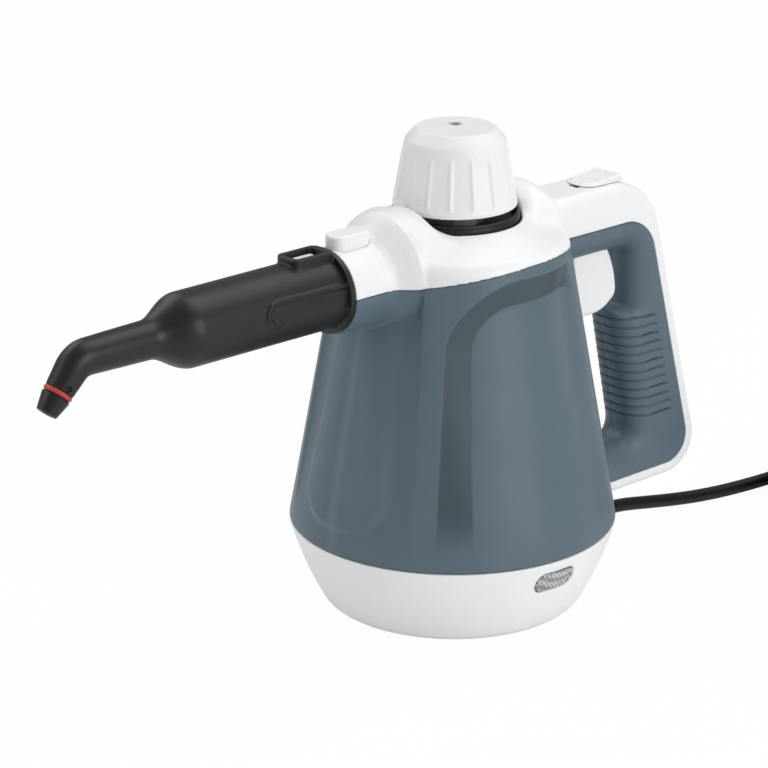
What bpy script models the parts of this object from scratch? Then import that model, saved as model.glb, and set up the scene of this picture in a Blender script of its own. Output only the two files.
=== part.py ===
"""A handheld steam cleaner, modelled at its real size in metres, +Z up, nozzle towards -X."""

import math

import bmesh
import bpy
import numpy as np
from mathutils import Matrix, Vector

# Gaps and cutter overruns
SEAT_GAP = 0.0003
RUNNING_GAP = 0.0004
OVERRUN = 0.004
MERGE_DISTANCE = 0.000001
CUTTER_HALF = 0.3104

# Facets
TURN_STEPS = 32
INSIDE_TURN_STEPS = 16
SMALL_TURN_STEPS = 8
ARC_STEPS = 4
ELBOW_STEPS = 5
NUT_STEPS = 6
DOME_STEPS = 3
RING_SECTION_STEPS = 6
SPRING_STEPS = 8
NOZZLE_RESOLUTION = 5

# Feet and base bowl
FOOT_STAND = 0.0015
FOOT_RADIUS = 0.0060
FOOT_INSET = 0.0120
FOOT_ANGLES = (45, 135, 225, 315)
FOOT_POCKET_DEPTH = 0.0010
BASE_SPREAD = 0.0188
BASE_WALL = 0.0026
BASE_SIDE_SHARES = (
    (0.00, 0.00),
    (0.19, 0.05),
    (0.38, 0.22),
    (0.77, 0.67),
    (0.95, 0.88),
    (1.00, 1.00),
)

# Housing cone
SEAM_Z = 0.0408
SEAM_RADIUS = 0.0748
SHOULDER_Z = 0.1820
SHOULDER_RADIUS = 0.0492
HOUSING_WALL = 0.0024

# Line between the housing and the top cover, an arc seen from the side
SPLIT_CREST_X = 0.0080
SPLIT_CREST_Z = 0.1706
SPLIT_ARC_RADIUS = 0.2060
SPLIT_FRONT_Z = 0.0007

# Arched recess on each side and raised bib at the front
ARCH_X = -0.0020
ARCH_FOOT_Z = 0.0560
ARCH_FOOT_HALF = 0.0530
ARCH_SPRING_Z = 0.1400
ARCH_SPRING_HALF = 0.0400
ARCH_TOP_Z = 0.1645
ARCH_ROUND = 0.0260
ARCH_DEPTH = 0.0022
ARCH_FOOT_DEPTH = 0.0003
BIB_RISE = 0.0017
BIB_TOP_HALF = 0.0180
BIB_FOOT_HALF = 0.0285
BIB_FOOT_Z = 0.0510
BIB_ROUND = 0.0220

# Collar that carries the nozzle
COLLAR_Z = 0.1625
COLLAR_RADIUS = 0.0180
COLLAR_WALL = 0.0025
COLLAR_REACH = 0.0750

# Top cover: dome, humps and side scoops
CREST_Z = 0.1933
CREST_SHARES = ((1.00, 0.00), (0.955, 0.42), (0.885, 0.78), (0.79, 1.00), (0.70, 0.90), (0.62, 0.45))
HUMP_RADIUS = 0.0285
HUMP_Z = 0.1650
HUMP_START_X = 0.0220
HUMP_SLOPE_RUN = 0.0090
SCOOP_Z = 0.1800
SCOOP_FALL = 0.0120
COVER_WALL = 0.0028

# Handle
HANDLE_HALF_WIDTH = 0.0140
HANDLE_EDGE = 0.0050
HANDLE_WALL = 0.0024
BAR_TOP_Z = 0.1810
BAR_REAR_X = 0.1140
BAR_ROUND = 0.0220
ARM_FLOOR_Z = 0.0278
ARM_REAR_X = 0.1552
ARM_ROUND = 0.0230
SPINE_TOP_DEPTH = 0.0190
SPINE_REAR_BAND = 0.0068
SPINE_FOOT_DEPTH = 0.0067
GRIP_TOP_ROUND = 0.0145
GRIP_FOOT_ROUND = 0.0165

# Finger opening inside the handle
WINDOW_TOP_Z = 0.1480
WINDOW_FLOOR_Z = 0.0500
WINDOW_REAR_TOP_X = 0.1045
PALM_TOP_X = 0.0960
PALM_TOP_Z = 0.1170
PALM_FOOT_X = 0.1100
WINDOW_ROUND = 0.0090
TRIGGER_RECESS_ROUND = 0.0040

# Grooves pressed into the grip
GROOVE_COUNT = 13
GROOVE_TOP_Z = 0.1150
GROOVE_FOOT_Z = 0.0610
GROOVE_WIDTH = 0.0011
GROOVE_DEPTH = 0.0009
GROOVE_REAR_MARGIN = 0.0060

# Trigger
PIVOT_X = 0.0760
PIVOT_Z = 0.1565
PIVOT_PIN_RADIUS = 0.0020
PIVOT_HUB_RADIUS = 0.0052
PIVOT_BOSS_RADIUS = 0.0045
TRIGGER_HALF_WIDTH = 0.0070
TRIGGER_FRONT_TOP_X = 0.0690
TRIGGER_FRONT_FOOT_X = 0.0736
TRIGGER_FOOT_Z = 0.1185
TRIGGER_HEEL_X = 0.0885
TRIGGER_REAR_X = 0.0983
TRIGGER_REAR_Z = 0.1250
TRIGGER_BACK_Z = 0.1340
TRIGGER_SHOULDER_X = 0.0925
TRIGGER_SHOULDER_Z = 0.1460
TRIGGER_EDGE = 0.0016
TRIGGER_ARM_HEIGHT = 0.0140
TRIGGER_ARM_HALF = 0.0030
TRIGGER_SPRING_WIRE = 0.0009
TRIGGER_SPRING_TURNS = 2.5
TRIGGER_SPRING_RADIUS = 0.0034
TRIGGER_SPRING_POCKET = 0.0048
TRIGGER_SPRING_DEPTH = 0.0044
TRIGGER_TOP_Z = 0.1585

# Steam valve and its rod
ROD_RISE = 0.0105
ROD_RADIUS = 0.0020
ROD_HEAD_RADIUS = 0.0036
ROD_HEAD_LENGTH = 0.0020
VALVE_X = 0.0310
VALVE_LENGTH = 0.0220
VALVE_WIDTH = 0.0150
VALVE_HEIGHT = 0.0086
VALVE_NECK_RADIUS = 0.0045
VALVE_BORE_DEPTH = 0.0150
VALVE_PORT_RADIUS = 0.0014
VALVE_BOSS_RADIUS = 0.0073
VALVE_BOSS_Z = 0.1500
ROD_INSERTION = 0.0100
ROD_HEAD_GAP = 0.0010

# Lock slider on the handle
LOCK_FRONT_X = 0.0730
LOCK_LENGTH = 0.0240
LOCK_HALF_WIDTH = 0.0090
LOCK_FRONT_HEIGHT = 0.0010
LOCK_REAR_HEIGHT = 0.0046
LOCK_TRAVEL = 0.0050
LOCK_STEM_LENGTH = 0.0100
LOCK_STEM_HALF = 0.0025
LOCK_KEEPER_HALF = 0.0048
LOCK_KEEPER_THICKNESS = 0.0022
LOCK_RIB_COUNT = 7
LOCK_RIB_WIDTH = 0.0011
LOCK_RIB_DEPTH = 0.0008

# Release button and latch
BUTTON_SETBACK = 0.0012
BUTTON_LENGTH = 0.0202
BUTTON_HALF_WIDTH = 0.0056
BUTTON_TOP_Z = 0.1876
BUTTON_TRAVEL = 0.0025
LATCH_HALF_WIDTH = 0.0048
LATCH_THICKNESS = 0.0030
LATCH_REACH = 0.0270
BUTTON_SPRING_RADIUS = 0.0028
BUTTON_SPRING_WIRE = 0.0007
BUTTON_SPRING_TURNS = 2.5
BUTTON_SPRING_SINK = 0.0018
BUTTON_LIP = 0.0022
LATCH_Z = 0.1714
LATCH_SHOULDER_Z = 0.1766

# Steam spigot in the collar
SPIGOT_RADIUS = 0.0134
SPIGOT_FLANGE_LENGTH = 0.0050
SPIGOT_INSIDE = 0.0180
SPIGOT_NOSE = 0.0370
SPIGOT_NIPPLE_RADIUS = 0.0052
SPIGOT_NIPPLE_LENGTH = 0.0160
SPIGOT_BORE_RADIUS = 0.0023
SPIGOT_SEAL_DISTANCE = 0.0100
SPIGOT_SEAL_SECTION = 0.00125
STEAM_PIPE_RADIUS = 0.0022
STEAM_PIPE_BORE_RADIUS = 0.0012
STEAM_PIPE_ROUTE = (
    (0.0310, -0.0130, 0.1670),
    (0.0295, -0.0185, 0.1664),
    (0.0252, -0.0232, 0.1646),
    (0.0180, -0.0270, 0.1626),
    (0.0080, -0.0296, 0.1612),
    (-0.0030, -0.0303, 0.1606),
    (-0.0140, -0.0283, 0.1605),
    (-0.0250, -0.0230, 0.1608),
    (-0.0340, -0.0155, 0.1614),
)
STEAM_PIPE_LEAD = (
    (0.0150, -0.0078, 0.1620),
    (0.0095, -0.0024, 0.1624),
    (0.0050, 0.0000, 0.1625),
)

# Jet nozzle
FLANGE_RADIUS = 0.0188
FLANGE_LENGTH = 0.0026
BARREL_RADIUS = 0.0163
BARREL_LENGTH = 0.0720
BARREL_CAVITY_DEPTH = 0.0400
SHOULDER_LENGTH = 0.0230
SHOULDER_SHARES = (
    (0.00, 1.00),
    (0.20, 0.93),
    (0.42, 0.70),
    (0.64, 0.40),
    (0.84, 0.14),
    (0.96, 0.02),
    (1.00, -0.06),
)
TUBE_RADIUS = 0.0082
TUBE_ELBOW_RADIUS = 0.0072
TUBE_RING_RADIUS = 0.0059
TUBE_LENGTH = 0.0396
ELBOW_ANGLE = math.radians(50.0)
ELBOW_BEND = 0.0160
RING_DISTANCE = 0.0159
RING_WIDTH = 0.0022
RING_SECTION = 0.0013
TIP_LENGTH = 0.0096
TIP_END_RADIUS = 0.0040
STEAM_BORE_RADIUS = 0.0022
DUCT_RADIUS = 0.0069
DUCT_LENGTH = 0.0180
SLOT_LENGTH = 0.0160
SLOT_HALF_WIDTH = 0.0046
SLOT_FRAME = 0.0024
SLOT_FRAME_TOP_Z = 0.1838

# Filler neck ring and safety cap
NECK_RING_RADIUS = 0.0303
NECK_RING_WALL = 0.0020
NECK_RING_TOP_Z = 0.1884
NECK_RING_HEIGHT = 0.0100
NECK_RING_FLOOR = 0.0030
CAP_RIM_Z = 0.1889
CAP_RIM_RADIUS = 0.0276
CAP_SHOULDER_Z = 0.2180
CAP_SHOULDER_RADIUS = 0.0221
CAP_TOP_Z = 0.2227
CAP_TOP_RADIUS = 0.0176
CAP_LIP_HEIGHT = 0.0020
CAP_WALL_FOOT_RADIUS = 0.0268
CAP_CROWN_SHARES = ((0.00, 0.00), (0.40, 0.62), (1.00, 1.00))
CAP_FLUTE_COUNT = 16
CAP_FLUTE_DEPTH = 0.0009
CAP_FLUTE_SHARES = (0.0, 0.0, 0.8, 1.0, 0.8)
CAP_FLUTE_RUN_SHARES = ((0.00, 0.0), (0.07, 1.0), (0.80, 1.0), (0.90, 0.0))
CAP_WALL = 0.0026
CAP_VENT_RADIUS = 0.0022
INSERT_FLANGE_RADIUS = 0.0160
INSERT_FLANGE_THICKNESS = 0.0060
INSERT_STEM_LENGTH = 0.0125
SEAL_THICKNESS = 0.0012
RELIEF_RADIUS = 0.0040
RELIEF_HEAD_RADIUS = 0.0060
RELIEF_HEAD_HEIGHT = 0.0035
CAP_SPRING_RADIUS = 0.0086
CAP_SPRING_WIRE = 0.0012
CAP_SPRING_TURNS = 4
SPRING_GUIDE_RADIUS = 0.0115
SPRING_GUIDE_WALL = 0.0016
SPRING_GUIDE_LENGTH = 0.0090

# Boiler
BOILER_FLOOR_Z = 0.0460
BOILER_RADIUS = 0.0420
BOILER_WALL = 0.0030
BOILER_FLOOR = 0.0050
BOILER_SPLIT_Z = 0.0960
BOILER_DOME_Z = 0.1330
BOILER_TOP_Z = 0.1490
BOILER_FLANGE_RADIUS = 0.0525
BOILER_FLANGE = 0.0040
GASKET_THICKNESS = 0.0012
BOLT_RING_RADIUS = 0.0475
BOLT_RADIUS = 0.0020
BOLT_HEAD_RADIUS = 0.0040
BOLT_HEAD_HEIGHT = 0.0030
NECK_RADIUS = 0.0140
NECK_BORE_RADIUS = 0.0116
NECK_TOP_Z = 0.1955

# Heater and guards under the boiler
HEATER_RING_RADIUS = 0.0250
HEATER_TUBE_RADIUS = 0.0036
HEATER_GAP_ANGLE = math.radians(50.0)
THERMOSTAT_RADIUS = 0.0080
THERMOSTAT_HEIGHT = 0.0100
THERMOSTAT_X = -0.0090
FUSE_RADIUS = 0.0026
FUSE_LENGTH = 0.0170
FUSE_X = 0.0090

# Posts and screws between base and boiler
POST_RING_RADIUS = 0.0350
POST_ANGLES = (60, 180, 300)
POST_RADIUS = 0.0058
SCREW_RADIUS = 0.0019
SCREW_HEAD_RADIUS = 0.0038
SCREW_HEAD_HEIGHT = 0.0022
SCREW_GRIP = 0.0036
SCREW_WELL_DEPTH = 0.0060

# Lamp and lens in the base
LENS_X = -0.0045
LENS_Z = 0.0305
LENS_LENGTH = 0.0215
LENS_HEIGHT = 0.0092
LENS_PROUD = 0.0004
LENS_THICKNESS = 0.0022
LAMP_RADIUS = 0.0032
LAMP_CLEARANCE = 0.0084
LAMP_STAND_THICKNESS = 0.0040
LAMP_STAND_HALF = 0.0070

# Cord entry
ENTRY_Z = 0.0135
BOOT_NECK_RADIUS = 0.0052
BOOT_FLANGE_RADIUS = 0.0080
BOOT_FLANGE_LENGTH = 0.0030
BOOT_CLEARANCE = 0.0008
BOOT_TAPER_LENGTH = 0.0318
BOOT_ROOT_RADIUS = 0.0068
BOOT_END_RADIUS = 0.0042
BOOT_GROOVE_COUNT = 6
BOOT_GROOVE_WIDTH = 0.0016
TERMINAL_CLEARANCE = 0.0045
TERMINAL_LENGTH = 0.0130
TERMINAL_HALF_WIDTH = 0.0110
TERMINAL_HEIGHT = 0.0120

# Mains cord, its coil and its plug
CORD_RADIUS = 0.0032
CORD_ROUTE = (
    (0.1003, 0.0000, 0.0135),
    (0.1070, 0.0000, 0.0133),
    (0.1160, 0.0000, 0.0122),
    (0.1290, -0.0004, 0.0098),
    (0.1450, -0.0014, 0.0070),
    (0.1610, -0.0030, 0.0049),
    (0.1770, -0.0051, 0.0037),
    (0.1930, -0.0074, 0.0034),
    (0.2080, -0.0096, 0.0036),
    (0.2200, -0.0112, 0.0042),
    (0.2300, -0.0127, 0.0050),
    (0.2366, -0.0128, 0.0050),
)
COIL_CENTRE = (0.2370, -0.0600)
COIL_LAYERS = 4
COIL_TURNS_PER_LAYER = 3
COIL_INNER_RADIUS = 0.0265
COIL_PITCH = 0.0069
COIL_LIFT = 0.0018
COIL_POINTS_PER_TURN = 20
CORD_TAIL = (
    (0.2374, -0.0128, 0.0257),
    (0.2445, -0.0128, 0.0257),
    (0.2550, -0.0138, 0.0254),
    (0.2670, -0.0168, 0.0246),
    (0.2780, -0.0220, 0.0230),
    (0.2880, -0.0295, 0.0212),
    (0.2960, -0.0390, 0.0197),
    (0.3020, -0.0500, 0.0188),
    (0.3060, -0.0615, 0.0185),
    (0.3075, -0.0680, 0.0185),
)
TIE_THICKNESS = 0.0012
TIE_WIDTH = 0.0100
TIE_CLEARANCE = 0.0012
PLUG_NECK_LENGTH = 0.0240
PLUG_NECK_RADIUS = 0.0058
PLUG_BODY_LENGTH = 0.0320
PLUG_BODY_RADIUS = 0.0183
PLUG_PIN_RADIUS = 0.0024
PLUG_PIN_LENGTH = 0.0190
PLUG_PIN_SPACING = 0.0190
PLUG_PIN_SOCKET = 0.0080

# Finishes: colour, roughness, metallic
BLUE_PLASTIC = ((0.115, 0.165, 0.195), 0.38, 0.0)
WHITE_PLASTIC = ((0.86, 0.86, 0.87), 0.30, 0.0)
BLACK_PLASTIC = ((0.014, 0.014, 0.015), 0.42, 0.0)
BLACK_RUBBER = ((0.018, 0.018, 0.019), 0.75, 0.0)
RED_SILICONE = ((0.48, 0.06, 0.045), 0.45, 0.0)
CLEAR_PLASTIC = ((0.80, 0.82, 0.84), 0.10, 0.0)
ALUMINIUM = ((0.66, 0.67, 0.69), 0.42, 1.0)
STEEL = ((0.55, 0.56, 0.58), 0.30, 1.0)
BRASS = ((0.62, 0.47, 0.22), 0.32, 1.0)
CERAMIC = ((0.72, 0.69, 0.62), 0.60, 0.0)


def clear_scene():
    for obj in list(bpy.data.objects):
        bpy.data.objects.remove(obj, do_unlink=True)


def new_collection(name):
    found = bpy.data.collections.new(name)
    bpy.context.scene.collection.children.link(found)
    return found


def finish_material(name, look):
    colour, roughness, metallic = look
    made = bpy.data.materials.new(name)
    made.use_nodes = True
    shader = made.node_tree.nodes["Principled BSDF"]
    shader.inputs["Base Color"].default_value = (*colour, 1.0)
    shader.inputs["Roughness"].default_value = roughness
    shader.inputs["Metallic"].default_value = metallic
    return made


def add_mesh(name, mesh):
    """A new object in the cutters' collection, under the tank's axis."""
    obj = bpy.data.objects.new(name, mesh)
    CUTTERS.objects.link(obj)
    obj.parent = AXIS
    obj.hide_render = True
    obj.display_type = "WIRE"
    return obj


def baked(obj):
    """The object's evaluated mesh, welded, in place of its modifiers or its curve."""
    bpy.context.view_layer.update()
    graph = bpy.context.evaluated_depsgraph_get()
    mesh = bpy.data.meshes.new_from_object(obj.evaluated_get(graph))
    work = bmesh.new()
    work.from_mesh(mesh)
    bmesh.ops.remove_doubles(work, verts=work.verts, dist=MERGE_DISTANCE)
    work.to_mesh(mesh)
    work.free()
    name = obj.name
    bpy.data.objects.remove(obj, do_unlink=True)
    return add_mesh(name, mesh)


def from_bmesh(name, work):
    bmesh.ops.recalc_face_normals(work, faces=work.faces)
    mesh = bpy.data.meshes.new(name)
    work.to_mesh(mesh)
    work.free()
    return add_mesh(name, mesh)


def turned(name, outline, steps=TURN_STEPS):
    """A profile of (radius, height) points turned about Z: it runs down the outer side."""
    mesh = bpy.data.meshes.new(name)
    count = len(outline)
    on_axis = outline[0][0] == 0 and outline[-1][0] == 0
    edges = [(i, i + 1) for i in range(count - 1)]
    if not on_axis:
        edges.append((count - 1, 0))
    mesh.from_pydata([(radius, 0, height) for radius, height in outline], edges, [])
    obj = add_mesh(name, mesh)
    turn = obj.modifiers.new("turn", "SCREW")
    turn.steps = steps
    turn.render_steps = steps
    turn.use_merge_vertices = True
    turn.merge_threshold = MERGE_DISTANCE
    return baked(obj)


def aimed(obj, direction, at=(0, 0, 0)):
    """Turns a shape made along +Z to point along a direction, and moves it."""
    turn = Vector((0, 0, 1)).rotation_difference(Vector(direction)).to_matrix().to_4x4()
    work = bmesh.new()
    work.from_mesh(obj.data)
    work.transform(Matrix.Translation(Vector(at)) @ turn)
    bmesh.ops.triangulate(work, faces=work.faces)
    work.to_mesh(obj.data)
    work.free()
    return obj


def rod(name, radius, start, end, steps=SMALL_TURN_STEPS):
    start, end = Vector(start), Vector(end)
    length = (end - start).length
    work = bmesh.new()
    bmesh.ops.create_cone(
        work, cap_ends=True, segments=steps, radius1=radius, radius2=radius, depth=length
    )
    obj = from_bmesh(name, work)
    return aimed(obj, end - start, (start + end) / 2)


def box(name, low, high):
    low, high = Vector(low), Vector(high)
    work = bmesh.new()
    bmesh.ops.create_cube(work, size=1)
    bmesh.ops.scale(work, vec=high - low, verts=work.verts)
    bmesh.ops.translate(work, vec=(low + high) / 2, verts=work.verts)
    return from_bmesh(name, work)


PLANES = {
    "X": Matrix(((0, 0, 1, 0), (1, 0, 0, 0), (0, 1, 0, 0), (0, 0, 0, 1))),
    "Y": Matrix(((1, 0, 0, 0), (0, 0, -1, 0), (0, 1, 0, 0), (0, 0, 0, 1))),
    "Z": Matrix.Identity(4),
}


def prism(name, outline, half_depth, along="Y", middle=0.0):
    """A flat outline, extruded both ways along an axis about a middle plane."""
    curve = bpy.data.curves.new(name, "CURVE")
    curve.dimensions = "2D"
    curve.fill_mode = "BOTH"
    curve.extrude = half_depth
    spline = curve.splines.new("POLY")
    spline.points.add(len(outline) - 1)
    spline.use_cyclic_u = True
    for point, (x, y) in zip(spline.points, outline):
        point.co = (x, y, 0, 1)
    obj = baked(add_mesh(name, curve))
    shift = Vector((0, 0, 0))
    shift["XYZ".index(along)] = middle
    obj.data.transform(Matrix.Translation(shift) @ PLANES[along])
    return facing_out(obj)


def facing_out(obj):
    work = bmesh.new()
    work.from_mesh(obj.data)
    bmesh.ops.recalc_face_normals(work, faces=work.faces)
    work.to_mesh(obj.data)
    work.free()
    return obj


def tube(name, points, radius, resolution=2, radii=None):
    """A round bar along points, with caps. radii, if given, holds its radius at each point."""
    curve = bpy.data.curves.new(name, "CURVE")
    curve.dimensions = "3D"
    curve.bevel_depth = radius
    curve.bevel_resolution = resolution
    curve.use_fill_caps = True
    curve.twist_mode = "MINIMUM"
    spline = curve.splines.new("POLY")
    spline.points.add(len(points) - 1)
    for i, (point, place) in enumerate(zip(spline.points, points)):
        point.co = (*place, 1)
        if radii:
            point.radius = radii[i] / radius
    return facing_out(baked(add_mesh(name, curve)))


def apply_boolean(obj, others, operation):
    for other in others:
        change = obj.modifiers.new(other.name, "BOOLEAN")
        change.operation = operation
        change.object = other
        change.solver = "EXACT"
    return obj


def cut(obj, *others):
    return apply_boolean(obj, others, "DIFFERENCE")


def join(obj, *others):
    return apply_boolean(obj, others, "UNION")


def keep(obj, *others):
    return apply_boolean(obj, others, "INTERSECT")


def part(obj, name, finish, pivot=None):
    """Makes a shape one of the object's pieces, with its origin at the pivot if it has one."""
    bpy.context.view_layer.update()
    graph = bpy.context.evaluated_depsgraph_get()
    mesh = bpy.data.meshes.new_from_object(obj.evaluated_get(graph))
    piece = bpy.data.objects.new(name, mesh)
    PARTS.objects.link(piece)
    piece.parent = AXIS
    if pivot is not None:
        mesh.transform(Matrix.Translation(-Vector(pivot)))
        piece.location = pivot
    mesh.materials.clear()
    mesh.materials.append(FINISHES[finish])
    mesh.shade_smooth()
    mesh.set_sharp_from_angle(angle=SHARP_ANGLE)
    return piece


def rounded(corners, steps=ARC_STEPS):
    """An outline through (x, y, radius) corners, each one turned on an arc."""
    points = []
    for i, (x, y, radius) in enumerate(corners):
        here = Vector((x, y))
        before = Vector(corners[i - 1][:2]) - here
        after = Vector(corners[(i + 1) % len(corners)][:2]) - here
        if not radius:
            points.append((x, y))
            continue
        half = before.angle(after) / 2
        reach = min(radius / math.tan(half), before.length / 2, after.length / 2)
        bend = reach * math.tan(half)
        middle = here + (before.normalized() + after.normalized()).normalized() * (bend / math.sin(half))
        start = here + before.normalized() * reach - middle
        sweep = start.angle_signed(here + after.normalized() * reach - middle)
        for k in range(steps + 1):
            turn = Matrix.Rotation(-sweep * k / steps, 2)
            spot = middle + turn @ start
            points.append((spot.x, spot.y))
    return points


def inset(corners, distance):
    """The same corners with every side moved inwards, for an outline that turns left."""
    moved = []
    for i, (x, y, radius) in enumerate(corners):
        here = Vector((x, y))
        before = (Vector(corners[i - 1][:2]) - here).normalized()
        after = (Vector(corners[(i + 1) % len(corners)][:2]) - here).normalized()
        half = before.angle(after) / 2
        turns_left = (-before).cross(after) > 0
        bisector = (before + after).normalized() * (1 if turns_left else -1)
        spot = here + bisector * distance / math.sin(half)
        grown = max(radius + (-distance if turns_left else distance), MERGE_DISTANCE) if radius else 0
        moved.append((spot.x, spot.y, grown))
    return moved


def ring_loft(name, rings):
    """A solid through closed rings of points, with as many points each."""
    work = bmesh.new()
    made = [[work.verts.new(spot) for spot in ring] for ring in rings]
    count = len(made[0])
    for low, high in zip(made, made[1:]):
        for i in range(count):
            j = (i + 1) % count
            work.faces.new((low[i], low[j], high[j], high[i]))
    work.faces.new(made[0])
    work.faces.new(made[-1])
    return from_bmesh(name, work)


def loft(name, levels):
    """A solid through flat outlines in XZ, one at each (y, outline) level, with as many points each."""
    return ring_loft(name, [[(x, y, z) for x, z in outline] for y, outline in levels])


def soft_prism(name, corners, half_width, edge, steps=2):
    """An outline in XZ extruded along Y, with its rims rounded."""
    levels = []
    for k in range(steps + 1):
        angle = math.pi / 2 * k / steps
        outline = rounded(inset(corners, edge * (1 - math.cos(angle))))
        levels.append((half_width - edge * (1 - math.sin(angle)), outline))
    return loft(name, [(-y, outline) for y, outline in reversed(levels)] + levels)


def soft_opening(name, corners, half_width, edge, steps=2):
    """The cutter for an opening through such a prism, flared so that its rims come out rounded."""
    levels = []
    for k in range(steps + 1):
        angle = math.pi / 2 * k / steps
        outline = rounded(inset(corners, -edge * (1 - math.cos(angle))))
        levels.append((half_width - edge * (1 - math.sin(angle)), outline))
    levels.append((half_width + OVERRUN, outline))
    return loft(name, [(-y, outline) for y, outline in reversed(levels)] + levels)


def helix(radius, low, high, turns):
    """Points of a coil spring about Z, its first and last half turns closed flat."""
    count = round(turns * SPRING_STEPS)
    points = []
    for i in range(count + 1):
        along = i / count
        climb = min(max((along * turns - 0.5) / (turns - 1.0), 0), 1)
        angle = 2 * math.pi * turns * along
        points.append((radius * math.cos(angle), radius * math.sin(angle), low + (high - low) * climb))
    return points


def smooth_route(points, spacing):
    """Points along a smooth curve through the given ones, at about the given spacing."""
    places = np.array(points)
    slopes = np.gradient(places, axis=0)
    found = []
    for i in range(len(places) - 1):
        gap = np.linalg.norm(places[i + 1] - places[i])
        parts = max(1, round(gap / spacing))
        for k in range(parts):
            t = k / parts
            found.append(
                (2 * t**3 - 3 * t**2 + 1) * places[i]
                + (t**3 - 2 * t**2 + t) * slopes[i]
                + (3 * t**2 - 2 * t**3) * places[i + 1]
                + (t**3 - t**2) * slopes[i + 1]
            )
    found.append(places[-1])
    return [tuple(float(v) for v in place) for place in found]


# Sizes that follow from the named ones
BASE_FLAT_RADIUS = SEAM_RADIUS - BASE_SPREAD
FOOT_RING_RADIUS = BASE_FLAT_RADIUS - FOOT_INSET


def housing_radius(z):
    """Outer radius of the housing's cone at a height."""
    share = (z - SEAM_Z) / (SHOULDER_Z - SEAM_Z)
    return SEAM_RADIUS + (SHOULDER_RADIUS - SEAM_RADIUS) * share


def panel_radius(z):
    """Radius of the recessed side panel, which deepens towards the arch's top."""
    share = (z - ARCH_FOOT_Z) / (ARCH_TOP_Z - ARCH_FOOT_Z)
    return housing_radius(z) - ARCH_FOOT_DEPTH - (ARCH_DEPTH - ARCH_FOOT_DEPTH) * share


def base_side(offset=0.0):
    """The bowl's outer side from the flat up, moved inwards by an offset."""
    rise = SEAM_Z - SEAT_GAP / 2 - FOOT_STAND
    return [
        (BASE_FLAT_RADIUS + BASE_SPREAD * outward - offset, FOOT_STAND + rise * upward)
        for outward, upward in BASE_SIDE_SHARES
    ]


def base_radius(z):
    """Outer radius of the bowl at a height."""
    radii, heights = zip(*base_side())
    return float(np.interp(z, heights, radii))


def split_z(x):
    """Height of the line between housing and cover, seen from the side."""
    across = min(abs(x - SPLIT_CREST_X), SPLIT_ARC_RADIUS)
    arc = SPLIT_CREST_Z - SPLIT_ARC_RADIUS + math.sqrt(SPLIT_ARC_RADIUS**2 - across**2)
    return max(arc, COLLAR_Z + SPLIT_FRONT_Z) if x < SPLIT_CREST_X else arc


def spine_x(z):
    """Rear edge of the handle at a height, as a straight line."""
    share = (z - ARM_FLOOR_Z) / (BAR_TOP_Z - ARM_FLOOR_Z)
    return ARM_REAR_X + (BAR_REAR_X - ARM_REAR_X) * share


def palm_x(z):
    """Front edge of the grip at a height."""
    share = (z - WINDOW_FLOOR_Z) / (PALM_TOP_Z - WINDOW_FLOOR_Z)
    return PALM_FOOT_X + (PALM_TOP_X - PALM_FOOT_X) * share


SPINE_TILT = math.atan2(ARM_REAR_X - BAR_REAR_X, BAR_TOP_Z - ARM_FLOOR_Z)
GRIP_REAR_BACK = SPINE_REAR_BAND / math.cos(SPINE_TILT)
BAR_SPLIT_Z = BAR_TOP_Z - SPINE_TOP_DEPTH
ARM_SPLIT_Z = ARM_FLOOR_Z + SPINE_FOOT_DEPTH
SHARP_ANGLE = math.radians(35)
SPIGOT_REAR_X = COLLAR_REACH - SPIGOT_INSIDE
SPIGOT_NOSE_X = COLLAR_REACH + SPIGOT_NOSE
SPIGOT_SEAL_X = SPIGOT_NOSE_X + SPIGOT_SEAL_DISTANCE
BARREL_END_X = COLLAR_REACH + BARREL_LENGTH
BARREL_CAVITY_X = COLLAR_REACH + BARREL_CAVITY_DEPTH
SHOULDER_END_X = BARREL_END_X + SHOULDER_LENGTH
ELBOW_X = SHOULDER_END_X + TUBE_LENGTH
BUTTON_FRONT_X = COLLAR_REACH - BUTTON_SETBACK
BASE_FLOOR_Z = FOOT_STAND + BASE_WALL
LAMP_STAND_Y = base_radius(LENS_Z) - LENS_THICKNESS - LAMP_CLEARANCE - 2 * LAMP_STAND_HALF
BOOT_TAPER_X = base_radius(ENTRY_Z + BOOT_ROOT_RADIUS) + BOOT_CLEARANCE
BOOT_FLANGE_FRONT_X = base_radius(ENTRY_Z - BOOT_FLANGE_RADIUS) - BASE_WALL - 2 * BOOT_CLEARANCE
BOOT_FLANGE_X = BOOT_FLANGE_FRONT_X - BOOT_FLANGE_LENGTH
TERMINAL_X = BOOT_FLANGE_X - TERMINAL_CLEARANCE - TERMINAL_LENGTH
CORD_SHIFT = BOOT_TAPER_X + BOOT_TAPER_LENGTH + SEAT_GAP - CORD_ROUTE[0][0]
COVER_CAVITY_Z = SCOOP_Z - SEAT_GAP - COVER_WALL
INSERT_STEM_RADIUS = NECK_BORE_RADIUS - RUNNING_GAP
INSERT_FLANGE_Z = NECK_TOP_Z + SEAL_THICKNESS + 2 * SEAT_GAP
INSERT_TOP_Z = INSERT_FLANGE_Z + INSERT_FLANGE_THICKNESS
ROD_Z = PIVOT_Z + ROD_RISE
BARREL_BORE_RADIUS = SPIGOT_RADIUS + SEAT_GAP
BUTTON_X = -BUTTON_FRONT_X + BUTTON_LENGTH / 2
GROOVE_FLOOR_Z = LATCH_Z - BUTTON_TRAVEL - 2 * SEAT_GAP


def handle_corners():
    """The handle's outer outline, from inside the housing round the back."""
    inner = housing_radius(BAR_TOP_Z) / 2
    return [
        (inner, ARM_FLOOR_Z, 0),
        (ARM_REAR_X, ARM_FLOOR_Z, ARM_ROUND),
        (BAR_REAR_X, BAR_TOP_Z, BAR_ROUND),
        (inner, BAR_TOP_Z, 0),
    ]


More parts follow.
